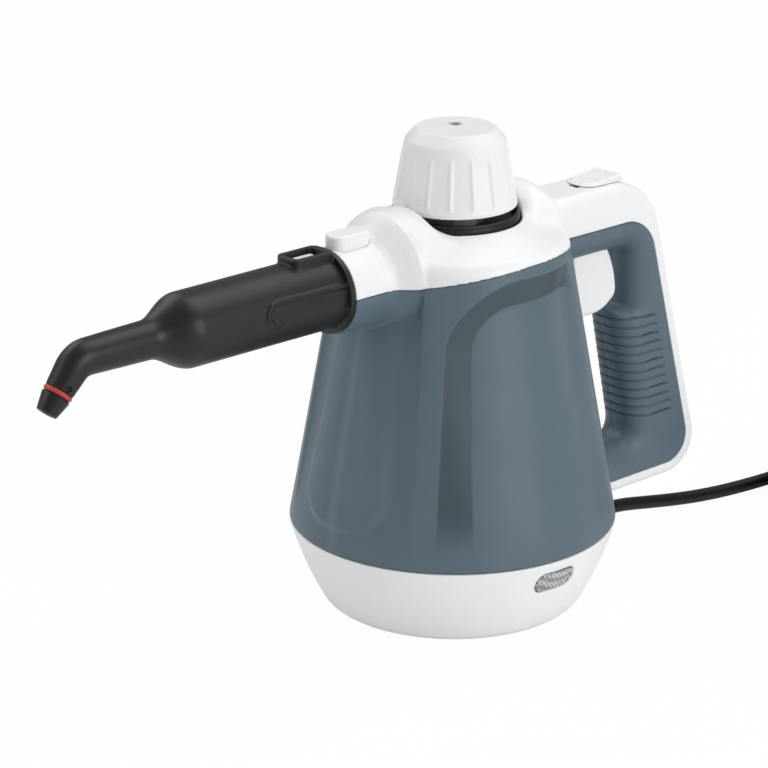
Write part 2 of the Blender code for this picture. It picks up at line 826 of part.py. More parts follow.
def grip_corners():
    """The outline of the blue grip inside the white spine."""
    inner = housing_radius(BAR_TOP_Z) / 4
    return [
        (inner, ARM_SPLIT_Z, 0),
        (spine_x(ARM_SPLIT_Z) - GRIP_REAR_BACK, ARM_SPLIT_Z, GRIP_FOOT_ROUND),
        (spine_x(BAR_SPLIT_Z) - GRIP_REAR_BACK, BAR_SPLIT_Z, GRIP_TOP_ROUND),
        (inner, BAR_SPLIT_Z, 0),
    ]


def window_corners():
    """The finger opening's outline, from inside the housing."""
    inner = housing_radius(WINDOW_TOP_Z) - OVERRUN
    return [
        (inner, WINDOW_FLOOR_Z, 0),
        (PALM_FOOT_X, WINDOW_FLOOR_Z, WINDOW_ROUND),
        (PALM_TOP_X, PALM_TOP_Z, TRIGGER_RECESS_ROUND),
        (WINDOW_REAR_TOP_X, PALM_TOP_Z + TRIGGER_RECESS_ROUND / 2, TRIGGER_RECESS_ROUND / 2),
        (WINDOW_REAR_TOP_X, WINDOW_TOP_Z, TRIGGER_RECESS_ROUND),
        (inner, WINDOW_TOP_Z, 0),
    ]


def cone_solid(name, low, high, offset, radius=housing_radius):
    """A solid cone frustum that follows the housing, with its radius less an offset."""
    return turned(
        name,
        [(0, high), (radius(high) - offset, high), (radius(low) - offset, low), (0, low)],
    )


def arch_outline(grow):
    """The arch seen from the side."""
    corners = [
        (ARCH_X - ARCH_FOOT_HALF - grow, ARCH_FOOT_Z - grow, 0),
        (ARCH_X + ARCH_FOOT_HALF + grow, ARCH_FOOT_Z - grow, 0),
        (ARCH_X + ARCH_SPRING_HALF + grow, ARCH_SPRING_Z, ARCH_ROUND),
        (ARCH_X + ARCH_SPRING_HALF / 2, ARCH_TOP_Z + grow, ARCH_ROUND),
        (ARCH_X - ARCH_SPRING_HALF / 2, ARCH_TOP_Z + grow, ARCH_ROUND),
        (ARCH_X - ARCH_SPRING_HALF - grow, ARCH_SPRING_Z, ARCH_ROUND),
    ]
    return rounded(corners)


def above_split(name, shift):
    """Everything over the line between housing and cover, shifted up or down."""
    left, right = -COLLAR_REACH - OVERRUN, housing_radius(BAR_TOP_Z) + 2 * OVERRUN
    count = 4 * ARC_STEPS
    line = [left + (right - left) * i / count for i in range(count + 1)]
    outline = [(x, split_z(x) + shift) for x in line]
    outline += [(right, CREST_Z + OVERRUN), (left, CREST_Z + OVERRUN)]
    return prism(name, outline, CUTTER_HALF)


def collar_solid(name, radius, start, end):
    """A bar along the collar's axis, between two distances in front of the tank's axis."""
    return rod(name, radius, (-start, 0, COLLAR_Z), (-end, 0, COLLAR_Z), TURN_STEPS)


def housing_blank():
    """Cone, arch, bib, lower collar and grip as one hollow shape, before it is split in two."""
    low = SEAM_Z + SEAT_GAP / 2
    blank = cone_solid("housing_cone", low, SHOULDER_Z, 0)

    bib = prism(
        "bib_outline",
        rounded([
            (-BIB_FOOT_HALF, BIB_FOOT_Z, BIB_ROUND),
            (BIB_FOOT_HALF, BIB_FOOT_Z, BIB_ROUND),
            (BIB_TOP_HALF, COLLAR_Z, 0),
            (-BIB_TOP_HALF, COLLAR_Z, 0),
        ]),
        SEAM_RADIUS / 2,
        "X",
        -SEAM_RADIUS,
    )
    keep(bib, cone_solid("bib_skin", BIB_FOOT_Z - OVERRUN, COLLAR_Z + OVERRUN, -BIB_RISE))

    arch = prism("arch_prism", arch_outline(0), CUTTER_HALF)
    cut(arch, cone_solid("panel_cone", SEAM_Z - OVERRUN, SHOULDER_Z, 0, panel_radius))

    grip = soft_prism("grip_blank", handle_corners(), HANDLE_HALF_WIDTH, HANDLE_EDGE)
    cut(grip, soft_opening("grip_window", window_corners(), HANDLE_HALF_WIDTH, HANDLE_EDGE))
    keep(grip, prism("grip_limit", rounded(inset(grip_corners(), SEAT_GAP / 2)), CUTTER_HALF))
    cut(grip, grip_grooves())

    join(blank, bib)
    cut(blank, arch)
    join(blank, collar_solid("collar_lower", COLLAR_RADIUS, housing_radius(COLLAR_Z) / 2, COLLAR_REACH))
    blank = baked(join(blank, grip))
    cut(blank, above_split("split_cut", -SEAT_GAP / 2))
    cut(blank, base_clearance())

    cavity = cone_solid("cavity", SEAM_Z - OVERRUN, SHOULDER_Z + OVERRUN, HOUSING_WALL)
    arch_wall = prism("arch_wall", arch_outline(HOUSING_WALL), CUTTER_HALF)
    cut(arch_wall, cone_solid("panel_inside", SEAM_Z, SHOULDER_Z + 2 * OVERRUN, HOUSING_WALL, panel_radius))
    cut(blank, cut(cavity, arch_wall))
    cut(blank, collar_solid("collar_bore", COLLAR_RADIUS - COLLAR_WALL, 0, COLLAR_REACH + OVERRUN))
    cut(blank, grip_cavity("grip_hollow"), trigger_slot())
    for side in (-1, 1):
        join(blank, pivot_boss(side))
    cut(blank, rod("pin_hole", PIVOT_PIN_RADIUS + SEAT_GAP, pin_end(-1, SEAT_GAP), pin_end(1, SEAT_GAP)))
    return blank


def base_clearance():
    """The bowl's outer form with a seating gap, below the seam."""
    side = base_side(-SEAT_GAP)
    top = SEAM_Z + SEAT_GAP / 2
    return turned("base_clearance", [(0, top), (side[-1][0], top), *reversed(side), (0, side[0][1])])


def grip_grooves():
    """The row of shallow grooves that wrap round the front of the grip."""
    rows = []
    for i in range(GROOVE_COUNT):
        z = GROOVE_TOP_Z + (GROOVE_FOOT_Z - GROOVE_TOP_Z) * i / (GROOVE_COUNT - 1)
        rear = spine_x(z) - GRIP_REAR_BACK - GROOVE_REAR_MARGIN
        rows.append((palm_x(z) - OVERRUN, rear, z))
    work = bmesh.new()
    for front, rear, z in rows:
        low = Vector((front, -HANDLE_HALF_WIDTH - OVERRUN, z - GROOVE_WIDTH / 2))
        high = Vector((rear, HANDLE_HALF_WIDTH + OVERRUN, z + GROOVE_WIDTH / 2))
        made = bmesh.ops.create_cube(work, size=1)["verts"]
        bmesh.ops.scale(work, vec=high - low, verts=made)
        bmesh.ops.translate(work, vec=(low + high) / 2, verts=made)
    bars = from_bmesh("groove_bars", work)
    core = soft_prism(
        "groove_core",
        inset(handle_corners(), GROOVE_DEPTH),
        HANDLE_HALF_WIDTH - GROOVE_DEPTH,
        HANDLE_EDGE,
    )
    cut(core, soft_opening(
        "groove_window",
        inset(window_corners(), -GROOVE_DEPTH),
        HANDLE_HALF_WIDTH - GROOVE_DEPTH,
        HANDLE_EDGE,
    ))
    return cut(bars, core)


def grip_cavity(name):
    """The hollow inside handle and spine: along the bar it opens into the housing."""
    outer = inset(handle_corners(), HANDLE_WALL)
    inner_x = housing_radius(SHOULDER_Z) / 2
    wall_x = housing_radius(ARM_FLOOR_Z) + 2 * HANDLE_WALL
    middle_z = (WINDOW_TOP_Z + WINDOW_FLOOR_Z) / 2
    corners = [
        (wall_x, outer[1][1], 0),
        outer[1],
        outer[2],
        (inner_x, outer[2][1], 0),
        (inner_x, middle_z, 0),
        (wall_x, middle_z, 0),
    ]
    hollow = prism(name, rounded(corners), HANDLE_HALF_WIDTH - HANDLE_WALL)
    window = inset(window_corners(), -HANDLE_WALL)
    front = inner_x - OVERRUN
    window[0] = (front, window[0][1], 0)
    window[-1] = (front, window[-1][1], 0)
    return cut(hollow, prism(name + "_window", rounded(window), CUTTER_HALF))


def trigger_slot():
    """The slot in the bar's underside that the trigger swings through."""
    half = TRIGGER_HALF_WIDTH + RUNNING_GAP
    swing = TRIGGER_REAR_X - TRIGGER_SHOULDER_X
    return box(
        "trigger_slot",
        (TRIGGER_FRONT_TOP_X - 2 * RUNNING_GAP - TRIGGER_EDGE, -half, WINDOW_TOP_Z - OVERRUN),
        (TRIGGER_SHOULDER_X + swing, half, WINDOW_TOP_Z + HANDLE_WALL + SEAT_GAP),
    )


def pin_end(side, shift=0.0):
    """Where the trigger's pin ends, one seating gap inside the wall."""
    reach = HANDLE_HALF_WIDTH - HANDLE_WALL - SEAT_GAP + shift
    return (PIVOT_X, side * reach, PIVOT_Z)


def pivot_boss(side):
    """The boss on the handle's wall that holds one end of the pin."""
    inner = TRIGGER_HALF_WIDTH + RUNNING_GAP
    wall = HANDLE_HALF_WIDTH - HANDLE_WALL / 2
    return rod(
        "pivot_boss",
        PIVOT_BOSS_RADIUS,
        (PIVOT_X, side * inner, PIVOT_Z),
        (PIVOT_X, side * wall, PIVOT_Z),
    )


def build_shells():
    """The left half, and its mirror image as the right half."""
    blank = baked(housing_blank())
    side = box(
        "left_side",
        (-CUTTER_HALF, -CUTTER_HALF, -OVERRUN),
        (CUTTER_HALF, -SEAT_GAP / 2, CUTTER_HALF),
    )
    half = baked(keep(blank, side))
    part(half, "left_shell", "blue_plastic")
    half.data.transform(Matrix.Scale(-1, 4, (0, 1, 0)))
    half.data.flip_normals()
    part(half, "right_shell", "blue_plastic")


def dome_outline(offset=0.0):
    """The cover's turned outline above the split, from the crest down, as (radius, height)."""
    rise = CREST_Z - SHOULDER_Z
    return [
        (SHOULDER_RADIUS * outward - offset, SHOULDER_Z + rise * upward - offset)
        for outward, upward in reversed(CREST_SHARES)
    ]


def hump(name, side):
    """One of the two humps kept beside the cap: a bar along X with a sloped inner end."""
    inner, outer = side * HUMP_START_X, side * SHOULDER_RADIUS * 2
    body = rod(name, HUMP_RADIUS, (side * HUMP_START_X / 2, 0, HUMP_Z), (outer, 0, HUMP_Z), TURN_STEPS)
    slope = [
        (inner, SCOOP_Z),
        (inner + side * HUMP_SLOPE_RUN, SCOOP_Z + HUMP_SLOPE_RUN),
        (inner + side * HUMP_SLOPE_RUN * 2, CREST_Z + OVERRUN),
        (-side * HUMP_START_X, CREST_Z + OVERRUN),
        (-side * HUMP_START_X, SCOOP_Z - SCOOP_FALL - OVERRUN),
        (inner, SCOOP_Z - SCOOP_FALL - OVERRUN),
    ]
    return cut(body, prism(name + "_slope", slope, CUTTER_HALF))


def build_top_cover():
    low = split_z(-housing_radius(COLLAR_Z)) - OVERRUN
    dome = dome_outline()
    cover = turned("cover_dome", [(0, dome[0][1]), *dome, (housing_radius(low), low), (0, low)])

    top = CREST_Z + OVERRUN
    mouth = NECK_RING_RADIUS + SEAT_GAP
    run = SHOULDER_RADIUS - mouth
    scoop = turned("scoop", [
        (0, top),
        (SHOULDER_RADIUS + run, top),
        (SHOULDER_RADIUS + run, SCOOP_Z - 2 * SCOOP_FALL),
        (mouth, SCOOP_Z),
        (0, SCOOP_Z),
    ])
    cut(scoop, hump("front_hump", -1), hump("rear_hump", 1))

    collar = collar_solid("collar_upper", COLLAR_RADIUS, housing_radius(COLLAR_Z) / 2, COLLAR_REACH)
    keep(cover, above_split("cover_limit", SEAT_GAP / 2))
    keep(collar, above_split("collar_limit", SEAT_GAP / 2))
    cut(cover, scoop)
    cover = baked(join(cover, collar))

    cavity_slope = SCOOP_FALL * (SHOULDER_RADIUS - COVER_WALL - mouth) / run
    cavity_z = COVER_CAVITY_Z - NECK_RING_FLOOR
    cavity = turned("cover_cavity", [
        (0, cavity_z),
        (mouth, cavity_z),
        (SHOULDER_RADIUS - COVER_WALL, cavity_z - cavity_slope),
        (housing_radius(low) - COVER_WALL, low - OVERRUN),
        (0, low - OVERRUN),
    ])
    cover = baked(cut(cover, cavity))
    ring_foot = NECK_RING_TOP_Z - NECK_RING_HEIGHT - SEAT_GAP
    ledge = mouth - NECK_RING_WALL
    cut(cover, turned("ring_hole", [
        (0, top),
        (mouth, top),
        (mouth, ring_foot),
        (ledge, ring_foot),
        (ledge, cavity_z - OVERRUN),
        (0, cavity_z - OVERRUN),
    ]))
    bore_start = NECK_RING_RADIUS + COVER_WALL
    bore = collar_solid("cover_bore", COLLAR_RADIUS - COLLAR_WALL, bore_start, COLLAR_REACH + OVERRUN)
    cover = baked(cut(cover, bore))
    for name, side in (("front_hollow", -1), ("rear_hollow", 1)):
        hollow = rod(
            name,
            HUMP_RADIUS - COVER_WALL,
            (side * bore_start, 0, HUMP_Z),
            (side * SHOULDER_RADIUS * 2, 0, HUMP_Z),
            TURN_STEPS,
        )
        inner = dome_outline(COVER_WALL)
        keep(hollow, turned(name + "_limit", [
            (0, inner[0][1]),
            *inner,
            (housing_radius(low) - COVER_WALL, low - OVERRUN),
            (0, low - OVERRUN),
        ]))
        cut(cover, hollow)
    cut(cover, button_pad("button_hole", RUNNING_GAP, COLLAR_Z, BUTTON_TOP_Z + OVERRUN))
    cut(cover, box(
        "rod_way",
        (0, -ROD_HEAD_RADIUS - RUNNING_GAP, low - OVERRUN),
        (
            housing_radius(low) + OVERRUN,
            ROD_HEAD_RADIUS + RUNNING_GAP,
            ROD_Z + ROD_HEAD_RADIUS + RUNNING_GAP,
        ),
    ))
    return part(cover, "top_cover", "white_plastic")


def build_spine():
    spine = soft_prism("spine_blank", handle_corners(), HANDLE_HALF_WIDTH, HANDLE_EDGE)
    cut(spine, prism("spine_inner", rounded(inset(grip_corners(), -SEAT_GAP / 2)), CUTTER_HALF))
    cut(spine, grip_cavity("spine_hollow"))
    dome = dome_outline(-SEAT_GAP)
    cut(spine, turned("spine_cover_gap", [
        (0, dome[0][1]),
        *dome,
        (housing_radius(SEAM_Z) + SEAT_GAP, SEAM_Z),
        (0, SEAM_Z),
    ]))
    cut(spine, base_clearance())
    stem_half = LOCK_STEM_HALF + RUNNING_GAP
    stem_x = LOCK_FRONT_X + LOCK_LENGTH / 2 - LOCK_STEM_LENGTH / 2
    cut(spine, box(
        "lock_slot",
        (stem_x - LOCK_TRAVEL - RUNNING_GAP, -stem_half, BAR_TOP_Z - HANDLE_WALL - OVERRUN),
        (stem_x + LOCK_STEM_LENGTH + RUNNING_GAP, stem_half, BAR_TOP_Z + OVERRUN),
    ))
    return part(spine, "handle_spine", "white_plastic")


def ring_places(radius, angles_deg):
    """Points on a circle round the tank's axis."""
    return [
        (radius * math.cos(math.radians(angle)), radius * math.sin(math.radians(angle)))
        for angle in angles_deg
    ]


def build_base():
    outer = base_side()
    inner = [spot for spot in base_side(BASE_WALL) if spot[1] > BASE_FLOOR_Z + BASE_WALL]
    base = turned("base_cup", [
        (0, BASE_FLOOR_Z),
        (BASE_FLAT_RADIUS, BASE_FLOOR_Z),
        *inner,
        *reversed(outer),
        (0, FOOT_STAND),
    ])
    well_top = FOOT_STAND + SCREW_WELL_DEPTH
    for x, y in ring_places(POST_RING_RADIUS, POST_ANGLES):
        post_foot = FOOT_STAND + BASE_WALL / 2
        join(base, rod("post", POST_RADIUS, (x, y, post_foot), (x, y, BOILER_FLOOR_Z - SEAT_GAP)))
        cut(
            base,
            rod("screw_well", SCREW_HEAD_RADIUS + RUNNING_GAP, (x, y, -OVERRUN), (x, y, well_top)),
            rod("screw_hole", SCREW_RADIUS + SEAT_GAP, (x, y, 0), (x, y, BOILER_FLOOR_Z + OVERRUN)),
        )
    pocket_top = FOOT_STAND + FOOT_POCKET_DEPTH
    for x, y in ring_places(FOOT_RING_RADIUS, FOOT_ANGLES):
        cut(base, rod("foot_pocket", FOOT_RADIUS + SEAT_GAP, (x, y, -OVERRUN), (x, y, pocket_top)))
    cut(base, lens_pill("lens_hole", SEAT_GAP))
    cut(base, rod(
        "boot_hole",
        BOOT_NECK_RADIUS + 2 * SEAT_GAP,
        (BOOT_FLANGE_X, 0, ENTRY_Z),
        (SEAM_RADIUS + OVERRUN, 0, ENTRY_Z),
    ))
    part(base, "base_shell", "white_plastic")

    for i, (x, y) in enumerate(ring_places(FOOT_RING_RADIUS, FOOT_ANGLES), 1):
        pad = rod("foot", FOOT_RADIUS, (x, y, 0), (x, y, pocket_top - SEAT_GAP))
        part(pad, f"foot_{i}", "black_rubber")
    head_top = well_top - SEAT_GAP
    for i, (x, y) in enumerate(ring_places(POST_RING_RADIUS, POST_ANGLES), 1):
        head = rod("screw_head", SCREW_HEAD_RADIUS, (x, y, head_top - SCREW_HEAD_HEIGHT), (x, y, head_top))
        shank_foot = head_top - SCREW_HEAD_HEIGHT / 2
        shank_top = BOILER_FLOOR_Z + SCREW_GRIP
        join(head, rod("screw_shank", SCREW_RADIUS, (x, y, shank_foot), (x, y, shank_top)))
        part(head, f"base_screw_{i}", "steel")


def lens_pill(name, grow):
    """The lens's rounded outline, pushed through the bowl's side."""
    half, height = LENS_LENGTH / 2 + grow, LENS_HEIGHT / 2 + grow
    return prism(
        name,
        rounded([
            (LENS_X - half, LENS_Z - height, height),
            (LENS_X + half, LENS_Z - height, height),
            (LENS_X + half, LENS_Z + height, height),
            (LENS_X - half, LENS_Z + height, height),
        ]),
        LAMP_STAND_Y / 4,
        "Y",
        -SEAM_RADIUS,
    )


def build_lens_and_lamp():
    lens = lens_pill("lens_body", 0)
    top = SEAM_Z
    outer, inner = base_side(-LENS_PROUD), base_side(LENS_THICKNESS)
    keep(lens, turned("lens_face", [(0, top), *reversed(outer), (0, outer[0][1])]))
    cut(lens, turned("lens_back", [(0, top), *reversed(inner), (0, inner[0][1])]))
    part(lens, "indicator_lens", "clear_plastic")

    foot = BASE_FLOOR_Z + SEAT_GAP
    back = -LAMP_STAND_Y + LAMP_STAND_THICKNESS / 2
    stand = box(
        "lamp_stand",
        (LENS_X - LAMP_STAND_HALF, back - LAMP_STAND_THICKNESS, foot),
        (LENS_X + LAMP_STAND_HALF, back, LENS_Z + LAMP_RADIUS),
    )
    join(stand, rod(
        "lamp",
        LAMP_RADIUS,
        (LENS_X, -LAMP_STAND_Y, LENS_Z - LAMP_RADIUS / 4),
        (LENS_X, -LAMP_STAND_Y - LAMP_STAND_HALF * 2, LENS_Z - LAMP_RADIUS / 4),
    ))
    part(stand, "lamp_holder", "white_plastic")


def build_boiler():
    split = BOILER_SPLIT_Z
    bore = BOILER_RADIUS - BOILER_WALL
    chamfer = BOILER_FLANGE
    lower = turned("boiler_cup", [
        (0, BOILER_FLOOR_Z + BOILER_FLOOR),
        (bore, BOILER_FLOOR_Z + BOILER_FLOOR),
        (bore, split),
        (BOILER_FLANGE_RADIUS, split),
        (BOILER_FLANGE_RADIUS, split - BOILER_FLANGE),
        (BOILER_RADIUS, split - BOILER_FLANGE),
        (BOILER_RADIUS, BOILER_FLOOR_Z + chamfer),
        (BOILER_RADIUS - chamfer, BOILER_FLOOR_Z),
        (0, BOILER_FLOOR_Z),
    ], INSIDE_TURN_STEPS)
    for x, y in ring_places(POST_RING_RADIUS, POST_ANGLES):
        hole_top = BOILER_FLOOR_Z + SCREW_GRIP + SEAT_GAP
        cut(lower, rod("blind_hole", SCREW_RADIUS + SEAT_GAP, (x, y, SEAM_Z), (x, y, hole_top)))

    gasket_foot = split + SEAT_GAP
    gasket_top = gasket_foot + GASKET_THICKNESS
    flange_foot = gasket_top + SEAT_GAP
    flange_top = flange_foot + BOILER_FLANGE
    gasket_rim = BOLT_RING_RADIUS - BOLT_RADIUS - 2 * SEAT_GAP
    part(
        turned("gasket_ring", [
            (gasket_rim, gasket_top),
            (gasket_rim, gasket_foot),
            (bore, gasket_foot),
            (bore, gasket_top),
        ], INSIDE_TURN_STEPS),
        "boiler_gasket",
        "red_silicone",
    )

    turns = [math.pi / 2 * k / DOME_STEPS for k in range(DOME_STEPS + 1)]
    outer = [
        (
            NECK_RADIUS + (BOILER_RADIUS - NECK_RADIUS) * math.cos(turn),
            BOILER_DOME_Z + (BOILER_TOP_Z - BOILER_DOME_Z) * math.sin(turn),
        )
        for turn in turns
    ]
    inner = [
        (
            NECK_BORE_RADIUS + (bore - NECK_BORE_RADIUS) * math.cos(turn),
            BOILER_DOME_Z + (BOILER_TOP_Z - BOILER_WALL - BOILER_DOME_Z) * math.sin(turn),
        )
        for turn in turns
    ]
    upper = turned("boiler_dome", [
        (NECK_RADIUS, NECK_TOP_Z),
        *reversed(outer),
        (BOILER_RADIUS, flange_top),
        (BOILER_FLANGE_RADIUS, flange_top),
        (BOILER_FLANGE_RADIUS, flange_foot),
        (bore, flange_foot),
        *inner,
        (NECK_BORE_RADIUS, NECK_TOP_Z),
    ], INSIDE_TURN_STEPS)
    boss_foot, boss_top = (VALVE_X, 0, BOILER_DOME_Z), (VALVE_X, 0, VALVE_BOSS_Z)
    join(upper, rod("valve_boss", VALVE_BOSS_RADIUS, boss_foot, boss_top))
    inner_limit = turned("boiler_space", [
        (0, inner[-1][1]),
        *reversed(inner),
        (bore, split),
        (0, split),
    ], INSIDE_TURN_STEPS)
    cut(upper, inner_limit)
    seat_foot, seat_top = (VALVE_X, 0, BOILER_SPLIT_Z), (VALVE_X, 0, NECK_TOP_Z)
    cut(upper, rod("valve_seat", VALVE_NECK_RADIUS + SEAT_GAP, seat_foot, seat_top))
    for x, y in ring_places(BOLT_RING_RADIUS, FOOT_ANGLES):
        for shell in (lower, upper):
            hole_foot, hole_top = (x, y, BOILER_FLOOR_Z), (x, y, BOILER_DOME_Z)
            cut(shell, rod("bolt_hole", BOLT_RADIUS + SEAT_GAP, hole_foot, hole_top))
    part(lower, "boiler_lower", "aluminium")
    part(upper, "boiler_upper", "aluminium")

    for i, (x, y) in enumerate(ring_places(BOLT_RING_RADIUS, FOOT_ANGLES), 1):
        head_foot = flange_top + SEAT_GAP
        nut_top = split - BOILER_FLANGE - SEAT_GAP
        head_top = head_foot + BOLT_HEAD_HEIGHT
        nut_foot = nut_top - BOLT_HEAD_HEIGHT
        bolt = rod("bolt_head", BOLT_HEAD_RADIUS, (x, y, head_foot), (x, y, head_top), NUT_STEPS)
        join(
            bolt,
            rod(
                "bolt_shank",
                BOLT_RADIUS,
                (x, y, nut_top - BOLT_HEAD_HEIGHT / 2),
                (x, y, head_foot + BOLT_HEAD_HEIGHT / 2),
            ),
            rod("bolt_nut", BOLT_HEAD_RADIUS, (x, y, nut_foot), (x, y, nut_top), NUT_STEPS),
        )
        part(bolt, f"boiler_bolt_{i}", "steel")


def build_heater():
    under = BOILER_FLOOR_Z - SEAT_GAP
    centre = under - HEATER_TUBE_RADIUS
    sweep = 2 * math.pi - HEATER_GAP_ANGLE
    count = TURN_STEPS // 2
    ring = []
    for i in range(count + 1):
        angle = HEATER_GAP_ANGLE / 2 + sweep * i / count
        ring.append((HEATER_RING_RADIUS * math.cos(angle), HEATER_RING_RADIUS * math.sin(angle), centre))
    part(tube("heater_ring", ring, HEATER_TUBE_RADIUS, 2), "heating_element", "steel")

    disc = rod(
        "thermostat_disc",
        THERMOSTAT_RADIUS,
        (THERMOSTAT_X, 0, under - THERMOSTAT_HEIGHT),
        (THERMOSTAT_X, 0, under),
    )
    part(disc, "thermostat", "ceramic")
    fuse_z = under - FUSE_RADIUS
    fuse_ends = [(FUSE_X, side * FUSE_LENGTH / 2, fuse_z) for side in (-1, 1)]
    fuse = rod("fuse_rod", FUSE_RADIUS, *fuse_ends)
    part(fuse, "thermal_fuse", "ceramic")

    foot = BASE_FLOOR_Z + SEAT_GAP
    block = box(
        "terminal_box",
        (TERMINAL_X, -TERMINAL_HALF_WIDTH, foot),
        (TERMINAL_X + TERMINAL_LENGTH, TERMINAL_HALF_WIDTH, foot + TERMINAL_HEIGHT),
    )
    pitch = TERMINAL_HALF_WIDTH * 2 / 3
    top = foot + TERMINAL_HEIGHT
    for place in (-pitch, 0, pitch):
        middle = TERMINAL_X + TERMINAL_LENGTH / 2
        hole_foot = foot + TERMINAL_HEIGHT / 2
        hole_top = top + OVERRUN
        cut(block, rod("clamp_hole", pitch / 4, (middle, place, hole_foot), (middle, place, hole_top)))
    part(block, "terminal_block", "ceramic")


def build_steam_line():
    block = box(
        "valve_block",
        (VALVE_X - VALVE_LENGTH / 2, -VALVE_WIDTH / 2, ROD_Z - VALVE_HEIGHT / 2),
        (VALVE_X + VALVE_LENGTH / 2, VALVE_WIDTH / 2, ROD_Z + VALVE_HEIGHT / 2),
    )
    neck_foot = (VALVE_X, 0, BOILER_DOME_Z + BOILER_WALL)
    join(block, rod("valve_neck", VALVE_NECK_RADIUS, neck_foot, (VALVE_X, 0, ROD_Z)))
    mouth = VALVE_X + VALVE_LENGTH / 2
    cut(
        block,
        rod(
            "rod_bore",
            ROD_RADIUS + RUNNING_GAP,
            (mouth - VALVE_BORE_DEPTH, 0, ROD_Z),
            (mouth + OVERRUN, 0, ROD_Z),
        ),
        rod("inlet_port", VALVE_PORT_RADIUS, (VALVE_X, 0, BOILER_DOME_Z), (VALVE_X, 0, ROD_Z)),
        rod("outlet_port", VALVE_PORT_RADIUS, (VALVE_X, -VALVE_WIDTH, ROD_Z), (VALVE_X, 0, ROD_Z)),
    )
    part(block, "steam_valve", "brass")

    head_rear = PIVOT_X - TRIGGER_ARM_HALF - ROD_HEAD_GAP
    head_front = head_rear - ROD_HEAD_LENGTH
    stem_front, stem_rear = mouth - ROD_INSERTION, head_rear - ROD_HEAD_LENGTH / 2
    stem = rod("rod_stem", ROD_RADIUS, (stem_front, 0, ROD_Z), (stem_rear, 0, ROD_Z))
    join(stem, rod("rod_head", ROD_HEAD_RADIUS, (head_front, 0, ROD_Z), (head_rear, 0, ROD_Z)))
    part(stem, "valve_rod", "steel", (mouth, 0, ROD_Z))

    start = (VALVE_X, -VALVE_WIDTH / 2 - SEAT_GAP, ROD_Z)
    end = (-SPIGOT_REAR_X + SEAT_GAP, 0, COLLAR_Z)
    lead = [(back - SPIGOT_REAR_X, y, z) for back, y, z in STEAM_PIPE_LEAD]
    route = smooth_route([start, *STEAM_PIPE_ROUTE, *lead, end], STEAM_PIPE_RADIUS * 4)
    pipe = tube("pipe_wall", route, STEAM_PIPE_RADIUS, 2)
    before = (start[0], start[1] + OVERRUN, start[2])
    after = (end[0] - OVERRUN, end[1], end[2])
    cut(pipe, tube("pipe_bore", [before, *route, after], STEAM_PIPE_BORE_RADIUS, 1))
    part(pipe, "steam_pipe", "steel")


def along_collar(obj):
    """Lays a shape turned about Z on the collar's axis, its height running forwards."""
    return aimed(obj, (-1, 0, 0), (0, 0, COLLAR_Z))


def torus(name, ring_radius, section_radius, height, steps=TURN_STEPS):
    """A ring of round section about Z."""
    outline = [
        (
            ring_radius + section_radius * math.cos(-2 * math.pi * k / RING_SECTION_STEPS),
            height + section_radius * math.sin(-2 * math.pi * k / RING_SECTION_STEPS),
        )
        for k in range(RING_SECTION_STEPS)
    ]
    return turned(name, outline, steps)


def build_spigot():
    nose, rear = SPIGOT_NOSE_X, SPIGOT_REAR_X
    tip = nose + SPIGOT_NIPPLE_LENGTH
    flange = COLLAR_RADIUS - COLLAR_WALL - SEAT_GAP
    seal_ring = DUCT_RADIUS - SEAT_GAP - SPIGOT_SEAL_SECTION
    seal_floor = seal_ring - SPIGOT_SEAL_SECTION - SEAT_GAP
    seal_half = SPIGOT_SEAL_SECTION + SEAT_GAP
    spigot = along_collar(turned("spigot_body", [
        (SPIGOT_NIPPLE_RADIUS, tip),
        (SPIGOT_NIPPLE_RADIUS, SPIGOT_SEAL_X + seal_half),
        (seal_floor, SPIGOT_SEAL_X + seal_half),
        (seal_floor, SPIGOT_SEAL_X - seal_half),
        (SPIGOT_NIPPLE_RADIUS, SPIGOT_SEAL_X - seal_half),
        (SPIGOT_NIPPLE_RADIUS, nose),
        (SPIGOT_RADIUS, nose),
        (SPIGOT_RADIUS, rear + SPIGOT_FLANGE_LENGTH),
        (flange, rear + SPIGOT_FLANGE_LENGTH),
        (flange, rear),
        (SPIGOT_BORE_RADIUS, rear),
        (SPIGOT_BORE_RADIUS, tip),
    ], INSIDE_TURN_STEPS))
    groove_half = BUTTON_HALF_WIDTH + RUNNING_GAP
    latch_tip = BUTTON_FRONT_X + LATCH_REACH
    cut(spigot, box(
        "latch_groove",
        (-latch_tip - OVERRUN / 2, -groove_half, GROOVE_FLOOR_Z),
        (-rear + OVERRUN, groove_half, COLLAR_Z + COLLAR_RADIUS),
    ))
    x = BUTTON_X
    cut(spigot, rod(
        "spring_pocket",
        BUTTON_SPRING_RADIUS + BUTTON_SPRING_WIRE / 2 + RUNNING_GAP,
        (x, 0, GROOVE_FLOOR_Z - BUTTON_SPRING_SINK),
        (x, 0, GROOVE_FLOOR_Z + OVERRUN),
    ))
    part(spigot, "outlet_spigot", "black_plastic")
    part(
        along_collar(torus("seal_ring", seal_ring, SPIGOT_SEAL_SECTION, SPIGOT_SEAL_X, INSIDE_TURN_STEPS)),
        "spigot_seal",
        "red_silicone",
    )


def button_pad(name, grow, low, high):
    """The release button's rounded outline in plan, between two heights."""
    half, width = BUTTON_LENGTH / 2 + grow, BUTTON_HALF_WIDTH + grow
    return prism(
        name,
        rounded([
            (BUTTON_X - half, -width, width),
            (BUTTON_X + half, -width, width),
            (BUTTON_X + half, width, width),
            (BUTTON_X - half, width, width),
        ]),
        (high - low) / 2,
        "Z",
        (low + high) / 2,
    )


